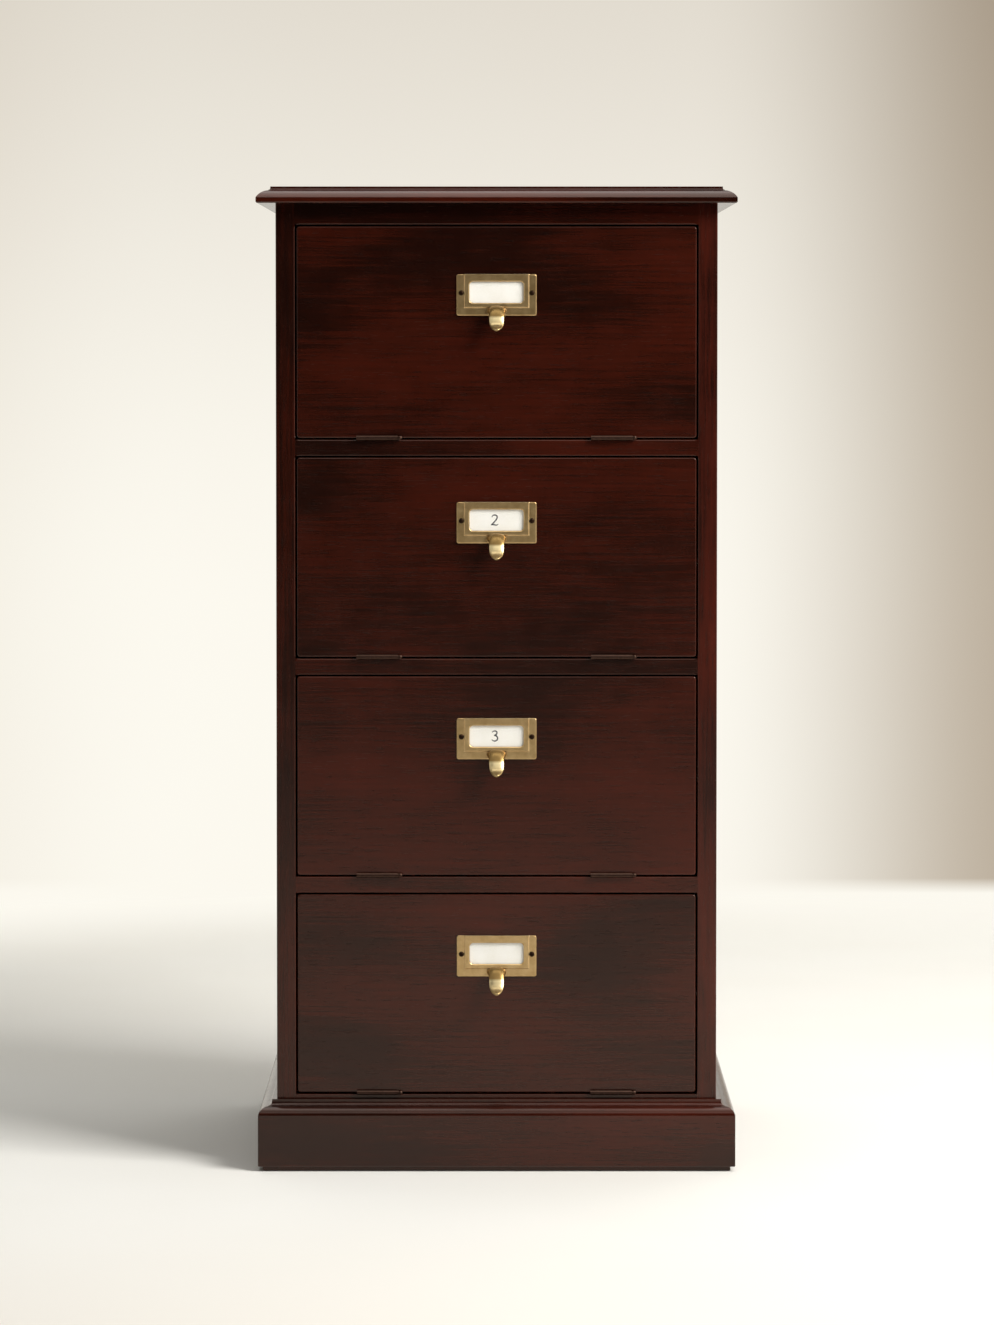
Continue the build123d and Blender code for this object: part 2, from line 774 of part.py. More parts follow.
# Flat door with eased edges, rounded corners and mortises for its hinge leaves
def door(index):
    bottom, top = openings[index]
    half = door_half_width()
    low = bottom + door_gap
    shape = block((-half, half), (face_y, door_back_y), (low, top - door_gap))
    shape = fillet(shape.edges().filter_by(Axis.Y), door_corner_radius)
    shape = fillet(shape.faces().sort_by(Axis.Y)[0].edges(), door_arris)
    tools = [
        block((start - leaf_clearance, start + barrel_length + leaf_clearance),
              (face_y - 1, face_y + leaf_depth + leaf_clearance), (low - 1, low + leaf_thickness))
        for start in barrel_starts()
    ]
    tools += [screw_hole(leaf_screw, point, (0, 0, 1)) for point in door_leaf_screw_points(bottom)]
    tools += [screw_hole(strike_screw, point, (0, -1, 0)) for point in strike_screw_points(top)]
    tools += [screw_hole(bracket_screw, point, (0, -1, 0)) for point in bracket_screw_points(bottom)]
    tools += [holder_pin(point, screw_clearance) for point in holder_pin_points(index)]
    return cut(shape, tools)


def door_screws(index):
    bottom, top = openings[index]
    shapes = [screw(leaf_screw, point, (0, 0, 1)) for point in door_leaf_screw_points(bottom)]
    shapes += [screw(strike_screw, point, (0, -1, 0)) for point in strike_screw_points(top)]
    shapes += [screw(bracket_screw, point, (0, -1, 0)) for point in bracket_screw_points(bottom)]
    shapes += [holder_pin(point, 0) for point in holder_pin_points(index)]
    return group(shapes)


# Rounded rectangle on the door's face, centred at a height and built up towards the front
def face_slab(width, height, z, radius, near, far):
    plane = Plane(origin=(0, face_y - near, z), x_dir=(1, 0, 0), z_dir=(0, -1, 0))
    return extrude(plane * RectangleRounded(width, height, radius), amount=far - near)


# Finger pull: oval sections along a curve that leaves the plate as a dome and kicks out at its tip
def finger_pull(plate_bottom):
    reach = pull_reach - plate_thickness
    root = (0, face_y - plate_thickness / 2, plate_bottom + pull_root_rise)
    knee = (0, face_y - plate_thickness - 0.42 * reach, plate_bottom - 0.02 * pull_tip_drop)
    flare = (0, face_y - plate_thickness - 0.62 * reach, plate_bottom - 0.55 * pull_tip_drop)
    tip_half = pull_thickness / 3
    tip = (0, face_y - pull_reach + tip_half / 2, plate_bottom - pull_tip_drop + tip_half)
    spine = Spline(root, knee, flare, tip, tangents=[(0, -1, -0.05), (0, -1, -0.55)])
    stations = [
        (0.0, pull_root_width, pull_root_thickness),
        (0.1, 0.98 * pull_root_width, 0.96 * pull_root_thickness),
        (0.21, 0.86 * pull_root_width, 0.7 * pull_root_thickness),
        (0.33, 1.04 * pull_width, 1.35 * pull_thickness),
        (0.46, pull_width, 1.08 * pull_thickness),
    ]
    for turn in (78, 60, 44, 28, 14):
        swell = sin(radians(turn))
        share = 1 - pull_taper_length * (1 - sin(radians(90 - turn))) / spine.length
        stations.append((share, pull_width * swell, pull_thickness * (0.55 + 0.45 * swell)))
    sections = []
    for share, width, thickness in stations:
        plane = Plane(origin=spine @ share, x_dir=(1, 0, 0), z_dir=spine % share)
        sections.append(plane * Ellipse(width / 2, thickness / 2))
    pull = loft(sections)
    return Pos(0, face_y - pull_reach - pull.bounding_box().min.Y, 0) * pull


# Card holder: a flange plate, a bevelled bezel round the card's window, and the finger pull
def label_holder(index):
    centre = holder_centre(index)
    plate_top = centre + plate_height / 2
    plate = face_slab(plate_width, plate_height, centre, plate_corner_radius, 0, plate_thickness)
    plate = fillet(plate.faces().sort_by(Axis.Y)[0].edges(), plate_edge)
    bezel = block((-bezel_width / 2, bezel_width / 2), (face_y - bezel_depth, face_y),
                  (plate_top - bezel_height, plate_top))
    bezel = chamfer(bezel.faces().sort_by(Axis.Y)[0].edges().sort_by(Axis.Z)[:-1], bezel_bevel)
    window_z = plate_top - window_drop
    slot_bottom = window_z - window_height / 2 - card_slot_margin
    slot_half = window_width / 2 + card_slot_margin
    shape = plate + bezel + finger_pull(centre - plate_height / 2)
    slot_y = (face_y - card_slot_depth, face_y + 1)
    slot = block((-slot_half, slot_half), slot_y, (slot_bottom, plate_top + 1))
    window = face_slab(window_width, window_height, window_z, window_corner_radius, -1, bezel_depth + 1)
    mouth = Plane(origin=(0, face_y - bezel_depth, window_z), x_dir=(1, 0, 0), z_dir=(0, 1, 0))
    flare = RectangleRounded(window_width + 2 * window_flare, window_height + 2 * window_flare,
                             window_corner_radius + window_flare)
    shape = shape - slot - window - extrude(mouth * flare, amount=window_flare, taper=45)
    return cut(shape, [holder_pin(point, screw_clearance) for point in holder_pin_points(index)])


def label_card(index):
    plate_top = holder_centre(index) + plate_height / 2
    half = window_width / 2 + card_slot_margin - card_clearance
    low = plate_top - window_drop - window_height / 2 - card_slot_margin
    return block((-half, half), (face_y - card_thickness, face_y), (low, plate_top - card_top_drop))


def strike_plate(opening_top):
    z = strike_centre(opening_top)
    plane = Plane(origin=(0, door_back_y, z), x_dir=(1, 0, 0), z_dir=(0, -1, 0))
    outline = RectangleRounded(strike_width, pole_height + 2 * strike_margin, strike_corner_radius)
    holes = [screw_hole(strike_screw, point, (0, -1, 0)) for point in strike_screw_points(opening_top)]
    return cut(extrude(plane * outline, amount=-strike_thickness), holes)


# Bracket on the door's inner side, with the rivet on which its stay turns
def stay_bracket(opening_bottom):
    y, z = stay_pivot(opening_bottom)
    foot = block((foot_inner_x, ear_outer_x), (door_back_y, door_back_y + bracket_thickness),
                 (z - bracket_height / 2, z + bracket_height / 2))
    foot = fillet(foot.edges().filter_by(Axis.Y).sort_by(Axis.X)[:2], bracket_corner_radius)
    ear_plane = Plane(origin=(ear_inner_x, 0, 0), x_dir=(0, 1, 0), z_dir=(1, 0, 0))
    ear_outline = ear_plane * (Pos(y, z) * Circle(stay_width / 2)
                               + Pos((y + door_back_y) / 2, z) * Rectangle(y - door_back_y, stay_width))
    shape = foot + extrude(ear_outline, amount=bracket_thickness)
    shape = shape - bar((ear_inner_x - 1, y, z), (ear_outer_x + 1, y, z), rivet_radius)
    places = bracket_screw_points(opening_bottom)
    shape = cut(shape, [screw_hole(bracket_screw, place, (0, -1, 0)) for place in places])
    rivet_end = stay_outer_x + stay_running_gap
    rivet = bar((ear_inner_x - rivet_head_thickness, y, z), (ear_inner_x, y, z), rivet_head_radius)
    rivet = rivet + bar((ear_inner_x, y, z), (rivet_end, y, z), rivet_radius)
    rivet = rivet + bar((rivet_end, y, z), (rivet_end + rivet_head_thickness, y, z), rivet_head_radius)
    return group([shape, rivet])


# Slotted stay arm, drawn along local x from its pivot and turned to point at its stud
def stay_arm(opening_bottom):
    pivot_y, pivot_z = stay_pivot(opening_bottom)
    stud_y, stud_z = stay_stud(opening_bottom)
    direction = (0, stud_y - pivot_y, stud_z - pivot_z)
    plane = Plane(origin=(stay_inner_x, pivot_y, pivot_z), x_dir=direction, z_dir=(1, 0, 0))
    slot_half = stud_radius + stay_slot_clearance
    far_end = stay_open_length + slot_half + stay_end_wall - stay_width / 2
    outline = Circle(stay_width / 2) + Pos(far_end, 0) * Circle(stay_width / 2)
    outline = outline + Pos(far_end / 2, 0) * Rectangle(far_end, stay_width)
    slot_middle = (stay_closed_length + stay_open_length) / 2
    slot_travel = stay_open_length - stay_closed_length
    outline = outline - Pos(slot_middle, 0) * SlotCenterToCenter(slot_travel, 2 * slot_half)
    outline = outline - Circle(rivet_radius + rivet_clearance)
    return extrude(plane * outline, amount=stay_thickness)


def save(name, shape):
    export_step(shape, f"parts/{name}.step")


def build_case():
    save("top_board", top_board())
    save("left_side_panel", side_panel(-1))
    save("right_side_panel", side_panel(1))
    save("back_panel", back_panel())
    save("left_stile", stile(-1))
    save("right_stile", stile(1))
    save("top_cleats", top_cleats())
    for number, name in enumerate(("top_rail", "rail_1", "rail_2", "rail_3", "bottom_rail")):
        save(name, rail(number))
    names = ("compartment_floor_1", "compartment_floor_2", "compartment_floor_3", "bottom_floor")
    for number, name in enumerate(names, 1):
        save(name, compartment_floor(number))


def build_plinth():
    save("plinth_front", plinth_front())
    save("plinth_left", plinth_side(-1))
    save("plinth_right", plinth_side(1))
    save("plinth_back", plinth_back())
    save("plinth_corner_blocks", corner_blocks())
    save("glides", glides())


def build_hardware():
    save("carcass_screws", carcass_screws())
    save("frame_hinge_leaves", frame_hinge_leaves())
    save("hinge_pins", hinge_pins())
    save("hinge_screws", hinge_screws())
    save("magnetic_catches", magnetic_catches())
    save("stay_studs", stay_studs())


def build_door(index):
    bottom, top = openings[index]
    number = index + 1
    save(f"door_{number}", door(index))
    save(f"label_holder_{number}", label_holder(index))
    save(f"label_card_{number}", label_card(index))
    save(f"door_hinge_leaves_{number}", door_hinge_leaves(bottom))
    save(f"door_screws_{number}", door_screws(index))
    save(f"strike_plate_{number}", strike_plate(top))
    save(f"stay_bracket_{number}", stay_bracket(bottom))
    save(f"stay_arm_{number}", stay_arm(bottom))


os.makedirs("parts", exist_ok=True)
build_case()
build_plinth()
build_hardware()
for door_index in range(len(openings)):
    build_door(door_index)
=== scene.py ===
"""Dresses a mahogany sorting cabinet with four drop-front doors and stands it in a plain studio."""

import logging
import math
from dataclasses import dataclass, field
from enum import Enum

import bpy
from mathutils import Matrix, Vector


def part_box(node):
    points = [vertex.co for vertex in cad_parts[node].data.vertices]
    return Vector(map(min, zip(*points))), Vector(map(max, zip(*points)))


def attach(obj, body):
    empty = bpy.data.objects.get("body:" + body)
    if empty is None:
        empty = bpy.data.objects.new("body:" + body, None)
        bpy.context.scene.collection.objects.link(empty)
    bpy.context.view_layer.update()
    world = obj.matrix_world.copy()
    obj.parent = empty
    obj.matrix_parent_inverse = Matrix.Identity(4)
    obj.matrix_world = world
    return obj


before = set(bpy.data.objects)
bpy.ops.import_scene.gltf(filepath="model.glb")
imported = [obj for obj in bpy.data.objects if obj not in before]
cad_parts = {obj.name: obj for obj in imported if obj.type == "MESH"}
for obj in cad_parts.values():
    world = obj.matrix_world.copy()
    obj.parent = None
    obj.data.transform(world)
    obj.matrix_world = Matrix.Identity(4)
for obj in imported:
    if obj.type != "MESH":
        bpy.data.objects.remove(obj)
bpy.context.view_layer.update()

LOG = logging.getLogger("sorting_cabinet")
MM = 0.001
DOOR_COUNT = 4
SURFACE = "ShaderNodeBsdfPrincipled"
MATH = "ShaderNodeMath"
VECTOR_MATH = "ShaderNodeVectorMath"
RANGE = "ShaderNodeMapRange"
MIX = "ShaderNodeMix"
BUMP = "ShaderNodeBump"
PLACE = "ShaderNodeTexCoord"
PATTERN_START = (0.0, 5.0, 0.0)
PATTERN_STEP = (1.0, 0.37, -0.61)
FLAT_FACE = 0.995
FULL_ARRIS = 0.86


class Grain(Enum):
    """Direction in which a board's grain runs, as an axis number."""

    ACROSS_THE_FRONT = 0
    FRONT_TO_BACK = 1
    UPRIGHT = 2


def linear(colour: str) -> tuple[float, float, float, float]:
    """Turns an sRGB hex colour to a linear one, by the curve of the sRGB standard.

    Args:
        colour: The colour, as "#rrggbb".

    Returns:
        Linear red, green, blue and an alpha of 1.
    """
    parts = [int(colour[start:start + 2], 16) / 255 for start in (1, 3, 5)]
    red, green, blue = (p / 12.92 if p <= 0.04045 else ((p + 0.055) / 1.055) ** 2.4 for p in parts)
    return red, green, blue, 1.0


def add(
    tree: bpy.types.NodeTree, kind: str, inputs: dict[str | int, object] | None = None,
    out: str | int | None = 0, **settings: object,
) -> bpy.types.Node | bpy.types.NodeSocket:
    """Adds one node with its settings and links.

    Args:
        tree: The tree that gets the node.
        kind: Blender's type name for the node.
        inputs: For each input, by name or number, its value or the output socket that feeds it.
        out: The output that is wanted, by name or number, or None for the node itself.
        **settings: The node's own properties, such as its operation.

    Returns:
        The output socket, or the node.
    """
    node = tree.nodes.new(kind)
    for name, value in settings.items():
        setattr(node, name, value)
    for name, value in (inputs or {}).items():
        if isinstance(value, bpy.types.NodeSocket):
            tree.links.new(value, node.inputs[name])
        else:
            node.inputs[name].default_value = value
    return node if out is None else node.outputs[out]


def blank_material(name: str) -> tuple[bpy.types.Material, bpy.types.NodeTree]:
    """Makes a material with an empty node tree.

    Args:
        name: The material's name.

    Returns:
        The material and its tree.
    """
    material = bpy.data.materials.new(name)
    material.use_nodes = True
    material.node_tree.nodes.clear()
    return material, material.node_tree


def figure(
    tree: bpy.types.NodeTree, place: bpy.types.NodeSocket, sizes_mm: tuple[float, float, float], shift: float,
    detail: float = 2.0, roughness: float = 0.5,
) -> bpy.types.NodeSocket:
    """Draws a noise pattern whose marks have a real size along each axis.

    Args:
        tree: The tree that gets the pattern.
        place: Coordinates in metres.
        sizes_mm: Size of a mark along X, Y and Z.
        shift: Moves the pattern, so that no two pieces look alike.
        detail: Octaves of finer noise.
        roughness: Strength of the finer noise.

    Returns:
        The noise, from 0 to 1.
    """
    moved = add(tree, "ShaderNodeMapping", {
        "Vector": place, "Scale": [1.0 / (size * MM) for size in sizes_mm],
        "Location": [start + shift * step for start, step in zip(PATTERN_START, PATTERN_STEP)],
    })
    noise = {"Vector": moved, "Scale": 1.0, "Detail": detail, "Roughness": roughness}
    return add(tree, "ShaderNodeTexNoise", noise)


def arris_mask(tree: bpy.types.NodeTree) -> bpy.types.NodeSocket:
    """Marks eased edges, where the surface faces along none of the axes.

    Args:
        tree: The tree that gets the mask.

    Returns:
        0 on flat faces and 1 in the middle of an arris.
    """
    size = add(tree, VECTOR_MATH, {0: add(tree, PLACE, out="Normal")}, operation="ABSOLUTE")
    parts = add(tree, "ShaderNodeSeparateXYZ", {0: size}, None).outputs
    widest = add(tree, MATH, {0: parts[0], 1: parts[1]}, operation="MAXIMUM")
    widest = add(tree, MATH, {0: widest, 1: parts[2]}, operation="MAXIMUM")
    return add(tree, RANGE, {0: widest, 1: FLAT_FACE, 2: FULL_ARRIS})


@dataclass(frozen=True)
class StainedMahogany:
    """Mahogany under a dark wiping stain and a sprayed satin lacquer.

    To the eye it is nearly black brown with soft patches of red where the light gets into the wood, streaks,
    short dark fibres and open pores along the grain, and a pale haze where the lacquer mirrors a bright
    floor. A pair in millimetres is a mark's length along the grain and its width, and a pair of tones is
    where a colour starts and where it is full. Pores and fibres are drawn wider than the real 0.2 mm, because
    real ones would not show at this size.
    """

    dark: str = "#180603"
    middle: str = "#260b04"
    red: str = "#421308"
    pore: str = "#0d0402"
    rubbed: str = "#4e2416"
    patch_mm: tuple[float, float] = (240.0, 82.0)
    mottle_mm: tuple[float, float] = (34.0, 26.0)
    thread_mm: tuple[float, float] = (95.0, 2.8)
    fibre_mm: tuple[float, float] = (17.0, 1.25)
    bend_mm: tuple[float, float] = (210.0, 60.0)
    sway_mm: float = 7.0
    peel_mm: float = 2.6
    thread_share: float = 0.7
    mottle_share: float = 0.2
    middle_tones: tuple[float, float] = (0.59, 1.12)
    red_tones: tuple[float, float] = (0.8, 1.38)
    pore_tones: tuple[float, float] = (0.56, 0.74)
    pore_share: float = 0.6
    roughness: float = 0.24
    mottle_roughness: float = 0.08
    pore_roughness: float = 0.1
    peel_depth: float = 0.01 * MM
    thread_depth: float = 0.02 * MM
    pore_depth: float = 0.03 * MM
    wear: float = 0.3
    # Painted light: how much lighter the wood is painted towards the right, where the light falls.
    lit_side_lift: float = 0.12
    lacquer_ior: float = 1.46
    tint: str = "#ffe8dc"

    def along(self, grain: Grain, marks: tuple[float, float]) -> tuple[float, float, float]:
        """Puts a mark's length along the grain and its width across it.

        Args:
            grain: The board's grain direction.
            marks: Length and width of a mark, in millimetres.

        Returns:
            The mark's size along X, Y and Z.
        """
        sizes = [marks[1]] * 3
        sizes[grain.value] = marks[0]
        return sizes[0], sizes[1], sizes[2]

    def make(self, name: str, grain: Grain, shift: float) -> bpy.types.Material:
        """Builds the material for one board.

        Args:
            name: The board's name.
            grain: The board's grain direction.
            shift: Moves the figure, so that each board has its own.

        Returns:
            The material.
        """
        material, tree = blank_material(f"stained_mahogany_{name}")
        place = add(tree, PLACE, out="Object")
        sway = figure(tree, place, self.along(grain, self.bend_mm), shift + 3.0)
        wave = self.sway_mm * MM
        bend = add(tree, MATH, {0: sway, 1: wave, 2: -0.5 * wave}, operation="MULTIPLY_ADD")
        swayed = add(tree, VECTOR_MATH, {0: place, 1: bend}, operation="ADD")
        patches = figure(tree, place, self.along(grain, self.patch_mm), shift, 1.0, 0.4)
        mottle = figure(tree, place, self.along(grain, self.mottle_mm), shift + 11.0, 2.0)
        threads = figure(tree, swayed, self.along(grain, self.thread_mm), shift + 23.0, 3.0, 0.6)
        fibres = figure(tree, swayed, self.along(grain, self.fibre_mm), shift + 37.0, 2.0)

        # Painted light: the tone rises with X, so every board is painted lighter towards the right, where the
        # light falls.
        lit_side_x = add(tree, "ShaderNodeSeparateXYZ", {0: place}, "X")
        tone = add(tree, MATH, {0: lit_side_x, 1: self.lit_side_lift, 2: patches}, operation="MULTIPLY_ADD")
        tone = add(tree, MATH, {0: threads, 1: self.thread_share, 2: tone}, operation="MULTIPLY_ADD")
        tone = add(tree, MATH, {0: mottle, 1: self.mottle_share, 2: tone}, operation="MULTIPLY_ADD")
        light = add(tree, RANGE, {0: tone, 1: self.middle_tones[0], 2: self.middle_tones[1]})
        warm = add(tree, RANGE, {0: tone, 1: self.red_tones[0], 2: self.red_tones[1]})
        colour = add(tree, MIX, {0: light, 6: linear(self.dark), 7: linear(self.middle)}, 2, data_type="RGBA")
        colour = add(tree, MIX, {0: warm, 6: colour, 7: linear(self.red)}, 2, data_type="RGBA")
        open_pores = {0: fibres, 1: self.pore_tones[0], 2: self.pore_tones[1], 4: self.pore_share}
        fibre_mask = add(tree, RANGE, open_pores)
        colour = add(tree, MIX, {0: fibre_mask, 6: colour, 7: linear(self.pore)}, 2, data_type="RGBA")
        worn = add(tree, MATH, {0: arris_mask(tree), 1: self.wear}, operation="MULTIPLY")
        colour = add(tree, MIX, {0: worn, 6: colour, 7: linear(self.rubbed)}, 2, data_type="RGBA")

        swing = self.mottle_roughness
        base = self.roughness - swing / 2
        rough = add(tree, MATH, {0: mottle, 1: swing, 2: base}, operation="MULTIPLY_ADD")
        rough = add(tree, MATH, {0: fibre_mask, 1: self.pore_roughness, 2: rough}, operation="MULTIPLY_ADD")
        peel = figure(tree, place, (self.peel_mm,) * 3, shift + 67.0, 1.0)
        normal = add(tree, BUMP, {"Height": peel, "Distance": self.peel_depth})
        normal = add(tree, BUMP, {"Height": threads, "Distance": self.thread_depth, "Normal": normal})
        pores = {"Height": fibre_mask, "Distance": self.pore_depth, "Normal": normal}
        normal = add(tree, BUMP, pores, invert=True)
        shader = add(tree, SURFACE, {
            "Base Color": colour, "Roughness": rough, "Normal": normal, "IOR": self.lacquer_ior,
            "Specular Tint": linear(self.tint),
        })
        add(tree, "ShaderNodeOutputMaterial", {"Surface": shader}, None)
        return material


@dataclass(frozen=True)
class AntiqueBrass:
    """Pressed and cast brass, browned with acid, lacquered thinly and rubbed back by fingers.

    To the eye the flats are an even brown gold with faint clouds and the rims are paler; the bend of the pull
    is painted paler as a painted highlight, the pull's dome is painted darker as painted shade on the cast
    metal's own brown, and the corners between plate and frame stay brown.
    """

    patina: str = "#ba9a68"
    flat: str = "#ceb07f"
    # Colour of the pull: the cast metal's own brown, darkened as painted shade on the dome.
    cast: str = "#83693d"
    # Paler colour of the tongue's bend: a painted highlight.
    bend: str = "#dcc99a"
    rubbed: str = "#ecd9b4"
    hollow: str = "#4e3a20"
    cloud_mm: float = 9.0
    cloud_tones: tuple[float, float] = (0.34, 0.66)
    brushing_mm: tuple[float, float, float] = (8.0, 8.0, 0.4)
    edge_mm: float = 0.45
    edge_turn: tuple[float, float] = (0.99, 0.86)
    edge_share: float = 0.9
    gap_tones: tuple[float, float] = (0.2, 0.5)
    gap_shares: tuple[float, float] = (0.6, 0.95)
    hollow_mm: float = 2.0
    hollow_air: tuple[float, float] = (0.64, 0.34)
    hollow_share: float = 0.8
    # Painted shade: beyond this depth the pull takes the darker cast colour, as painted shade on its dome.
    proud_pull_mm: tuple[float, float] = (4.6, 6.0)
    bend_mm: tuple[float, float] = (43.0, 45.5)
    tip_mm: tuple[float, float] = (46.0, 55.0)
    tip_share: float = 0.15
    roughness: float = 0.34
    cast_roughness: float = 0.3
    cloud_roughness: float = 0.1
    brushing_depth: float = 0.005 * MM
    cloud_depth: float = 0.01 * MM
    bare: float = 0.88

    def make(self, name: str, face: float, top: float, shift: float) -> bpy.types.Material:
        """Builds the material for one holder.

        Args:
            name: The holder's name.
            face: Where the door's front is along Y, in metres.
            top: Where the holder's upper edge is along Z, in metres.
            shift: Moves the patina, so that each holder has its own.

        Returns:
            The material.
        """
        material, tree = blank_material(f"antique_brass_{name}")
        place = add(tree, PLACE, out="Object")
        clouds = figure(tree, place, (self.cloud_mm,) * 3, shift, 4.0, 0.6)
        brushing = figure(tree, place, self.brushing_mm, shift + 7.0, 2.0)
        tone = add(tree, RANGE, {0: clouds, 1: self.cloud_tones[0], 2: self.cloud_tones[1]})
        colour = add(tree, MIX, {0: tone, 6: linear(self.patina), 7: linear(self.flat)}, 2, data_type="RGBA")
        plain = add(tree, "ShaderNodeNewGeometry", out="Normal")
        eased = add(tree, "ShaderNodeBevel", {"Radius": self.edge_mm * MM}, samples=6)
        edge = add(tree, VECTOR_MATH, {0: plain, 1: eased}, "Value", operation="DOT_PRODUCT")
        edge = add(tree, RANGE, {0: edge, 1: self.edge_turn[0], 2: self.edge_turn[1], 4: self.edge_share})
        parts = add(tree, "ShaderNodeSeparateXYZ", {0: place}, None).outputs
        # Painted shade: the part of the pull that stands proud of the door is painted the darker cast colour.
        near, far = (face - size * MM for size in self.proud_pull_mm)
        proud_pull = add(tree, RANGE, {0: parts["Y"], 1: near, 2: far})
        colour = add(tree, MIX, {0: proud_pull, 6: colour, 7: linear(self.cast)}, 2, data_type="RGBA")
        # Painted highlight: a paler band where the tongue bends down below the plate, weaker towards the tip.
        high, low = (top - size * MM for size in self.bend_mm)
        bend = add(tree, RANGE, {0: parts["Z"], 1: high, 2: low})
        high, low = (top - size * MM for size in self.tip_mm)
        above_tip = add(tree, RANGE, {0: parts["Z"], 1: low, 2: high, 3: self.tip_share})
        bend = add(tree, MATH, {0: bend, 1: above_tip}, operation="MULTIPLY")
        colour = add(tree, MIX, {0: bend, 6: colour, 7: linear(self.bend)}, 2, data_type="RGBA")
        gaps = add(tree, RANGE, dict(zip(range(5), (clouds, *self.gap_tones, *self.gap_shares))))
        rubbed = add(tree, MATH, {0: edge, 1: gaps}, operation="MULTIPLY")
        colour = add(tree, MIX, {0: rubbed, 6: colour, 7: linear(self.rubbed)}, 2, data_type="RGBA")
        open_air = add(tree, "ShaderNodeAmbientOcclusion", {"Distance": self.hollow_mm * MM}, "AO", samples=8)
        closed = {0: open_air, 1: self.hollow_air[0], 2: self.hollow_air[1], 4: self.hollow_share}
        hidden = add(tree, RANGE, closed)
        colour = add(tree, MIX, {0: hidden, 6: colour, 7: linear(self.hollow)}, 2, data_type="RGBA")
        swing = self.cloud_roughness
        base = self.roughness - swing / 2
        rough = add(tree, MATH, {0: clouds, 1: swing, 2: base}, operation="MULTIPLY_ADD")
        smoothing = self.cast_roughness - self.roughness
        rough = add(tree, MATH, {0: proud_pull, 1: smoothing, 2: rough}, operation="MULTIPLY_ADD")
        normal = add(tree, BUMP, {"Height": brushing, "Distance": self.brushing_depth, "Normal": eased})
        normal = add(tree, BUMP, {"Height": clouds, "Distance": self.cloud_depth, "Normal": normal})
        shader = add(tree, SURFACE, {
            "Base Color": colour, "Metallic": self.bare, "Roughness": rough, "Normal": normal,
        })
        add(tree, "ShaderNodeOutputMaterial", {"Surface": shader}, None)
        return material


@dataclass(frozen=True)
class PlatedMetal:
    """Small fittings with a thin plating: an even metal with faint stains and a rubbed edge."""

    name: str
    base: str
    stain: str
    rubbed: str
    roughness: float
    stain_mm: float = 3.0
    stain_tones: tuple[float, float] = (0.4, 0.65)
    stain_roughness: float = 0.16
    edge_share: float = 0.5
    grit_mm: float = 0.6
    grit_depth: float = 0.004 * MM

    def make(self) -> bpy.types.Material:
        """Builds the material.

        Returns:
            The material.
        """
        material, tree = blank_material(self.name)
        place = add(tree, PLACE, out="Object")
        stains = figure(tree, place, (self.stain_mm,) * 3, 2.0, 4.0, 0.6)
        grit = figure(tree, place, (self.grit_mm,) * 3, 9.0, 1.0)
        tone = add(tree, RANGE, {0: stains, 1: self.stain_tones[0], 2: self.stain_tones[1]})
        colour = add(tree, MIX, {0: tone, 6: linear(self.base), 7: linear(self.stain)}, 2, data_type="RGBA")
        edge = add(tree, MATH, {0: arris_mask(tree), 1: self.edge_share}, operation="MULTIPLY")
        colour = add(tree, MIX, {0: edge, 6: colour, 7: linear(self.rubbed)}, 2, data_type="RGBA")
        swing = self.stain_roughness
        base = self.roughness - swing / 2
        rough = add(tree, MATH, {0: stains, 1: swing, 2: base}, operation="MULTIPLY_ADD")
        normal = add(tree, BUMP, {"Height": grit, "Distance": self.grit_depth})
        shader = add(tree, SURFACE, {
            "Base Color": colour, "Metallic": 1.0, "Roughness": rough, "Normal": normal,
        })
        add(tree, "ShaderNodeOutputMaterial", {"Surface": shader}, None)
        return material


@dataclass(frozen=True)
class MouldedPlastic:
    """Injection-moulded plastic: an even, dull surface with a fine spark-eroded texture."""

    name: str
    base: str
    scuffed: str
    roughness: float = 0.5
    scuff_roughness: float = 0.1
    scuff_mm: tuple[float, float, float] = (14.0, 5.0, 9.0)
    scuff_tones: tuple[float, float] = (0.5, 0.75)
    texture_mm: float = 0.7
    texture_depth: float = 0.02 * MM
    ior: float = 1.49

    def make(self) -> bpy.types.Material:
        """Builds the material.

        Returns:
            The material.
        """
        material, tree = blank_material(self.name)
        place = add(tree, PLACE, out="Object")
        texture = figure(tree, place, (self.texture_mm,) * 3, 4.0)
        scuffs = figure(tree, place, self.scuff_mm, 8.0, 4.0)
        tone = add(tree, RANGE, {0: scuffs, 1: self.scuff_tones[0], 2: self.scuff_tones[1]})
        colour = add(tree, MIX, {0: tone, 6: linear(self.base), 7: linear(self.scuffed)}, 2, data_type="RGBA")
        swing = self.scuff_roughness
        rough = add(tree, MATH, {0: scuffs, 1: swing, 2: self.roughness}, operation="MULTIPLY_ADD")
        normal = add(tree, BUMP, {"Height": texture, "Distance": self.texture_depth})
        shader = add(tree, SURFACE, {
            "Base Color": colour, "Roughness": rough, "Normal": normal, "IOR": self.ior,
        })
        add(tree, "ShaderNodeOutputMaterial", {"Surface": shader}, None)
        return material


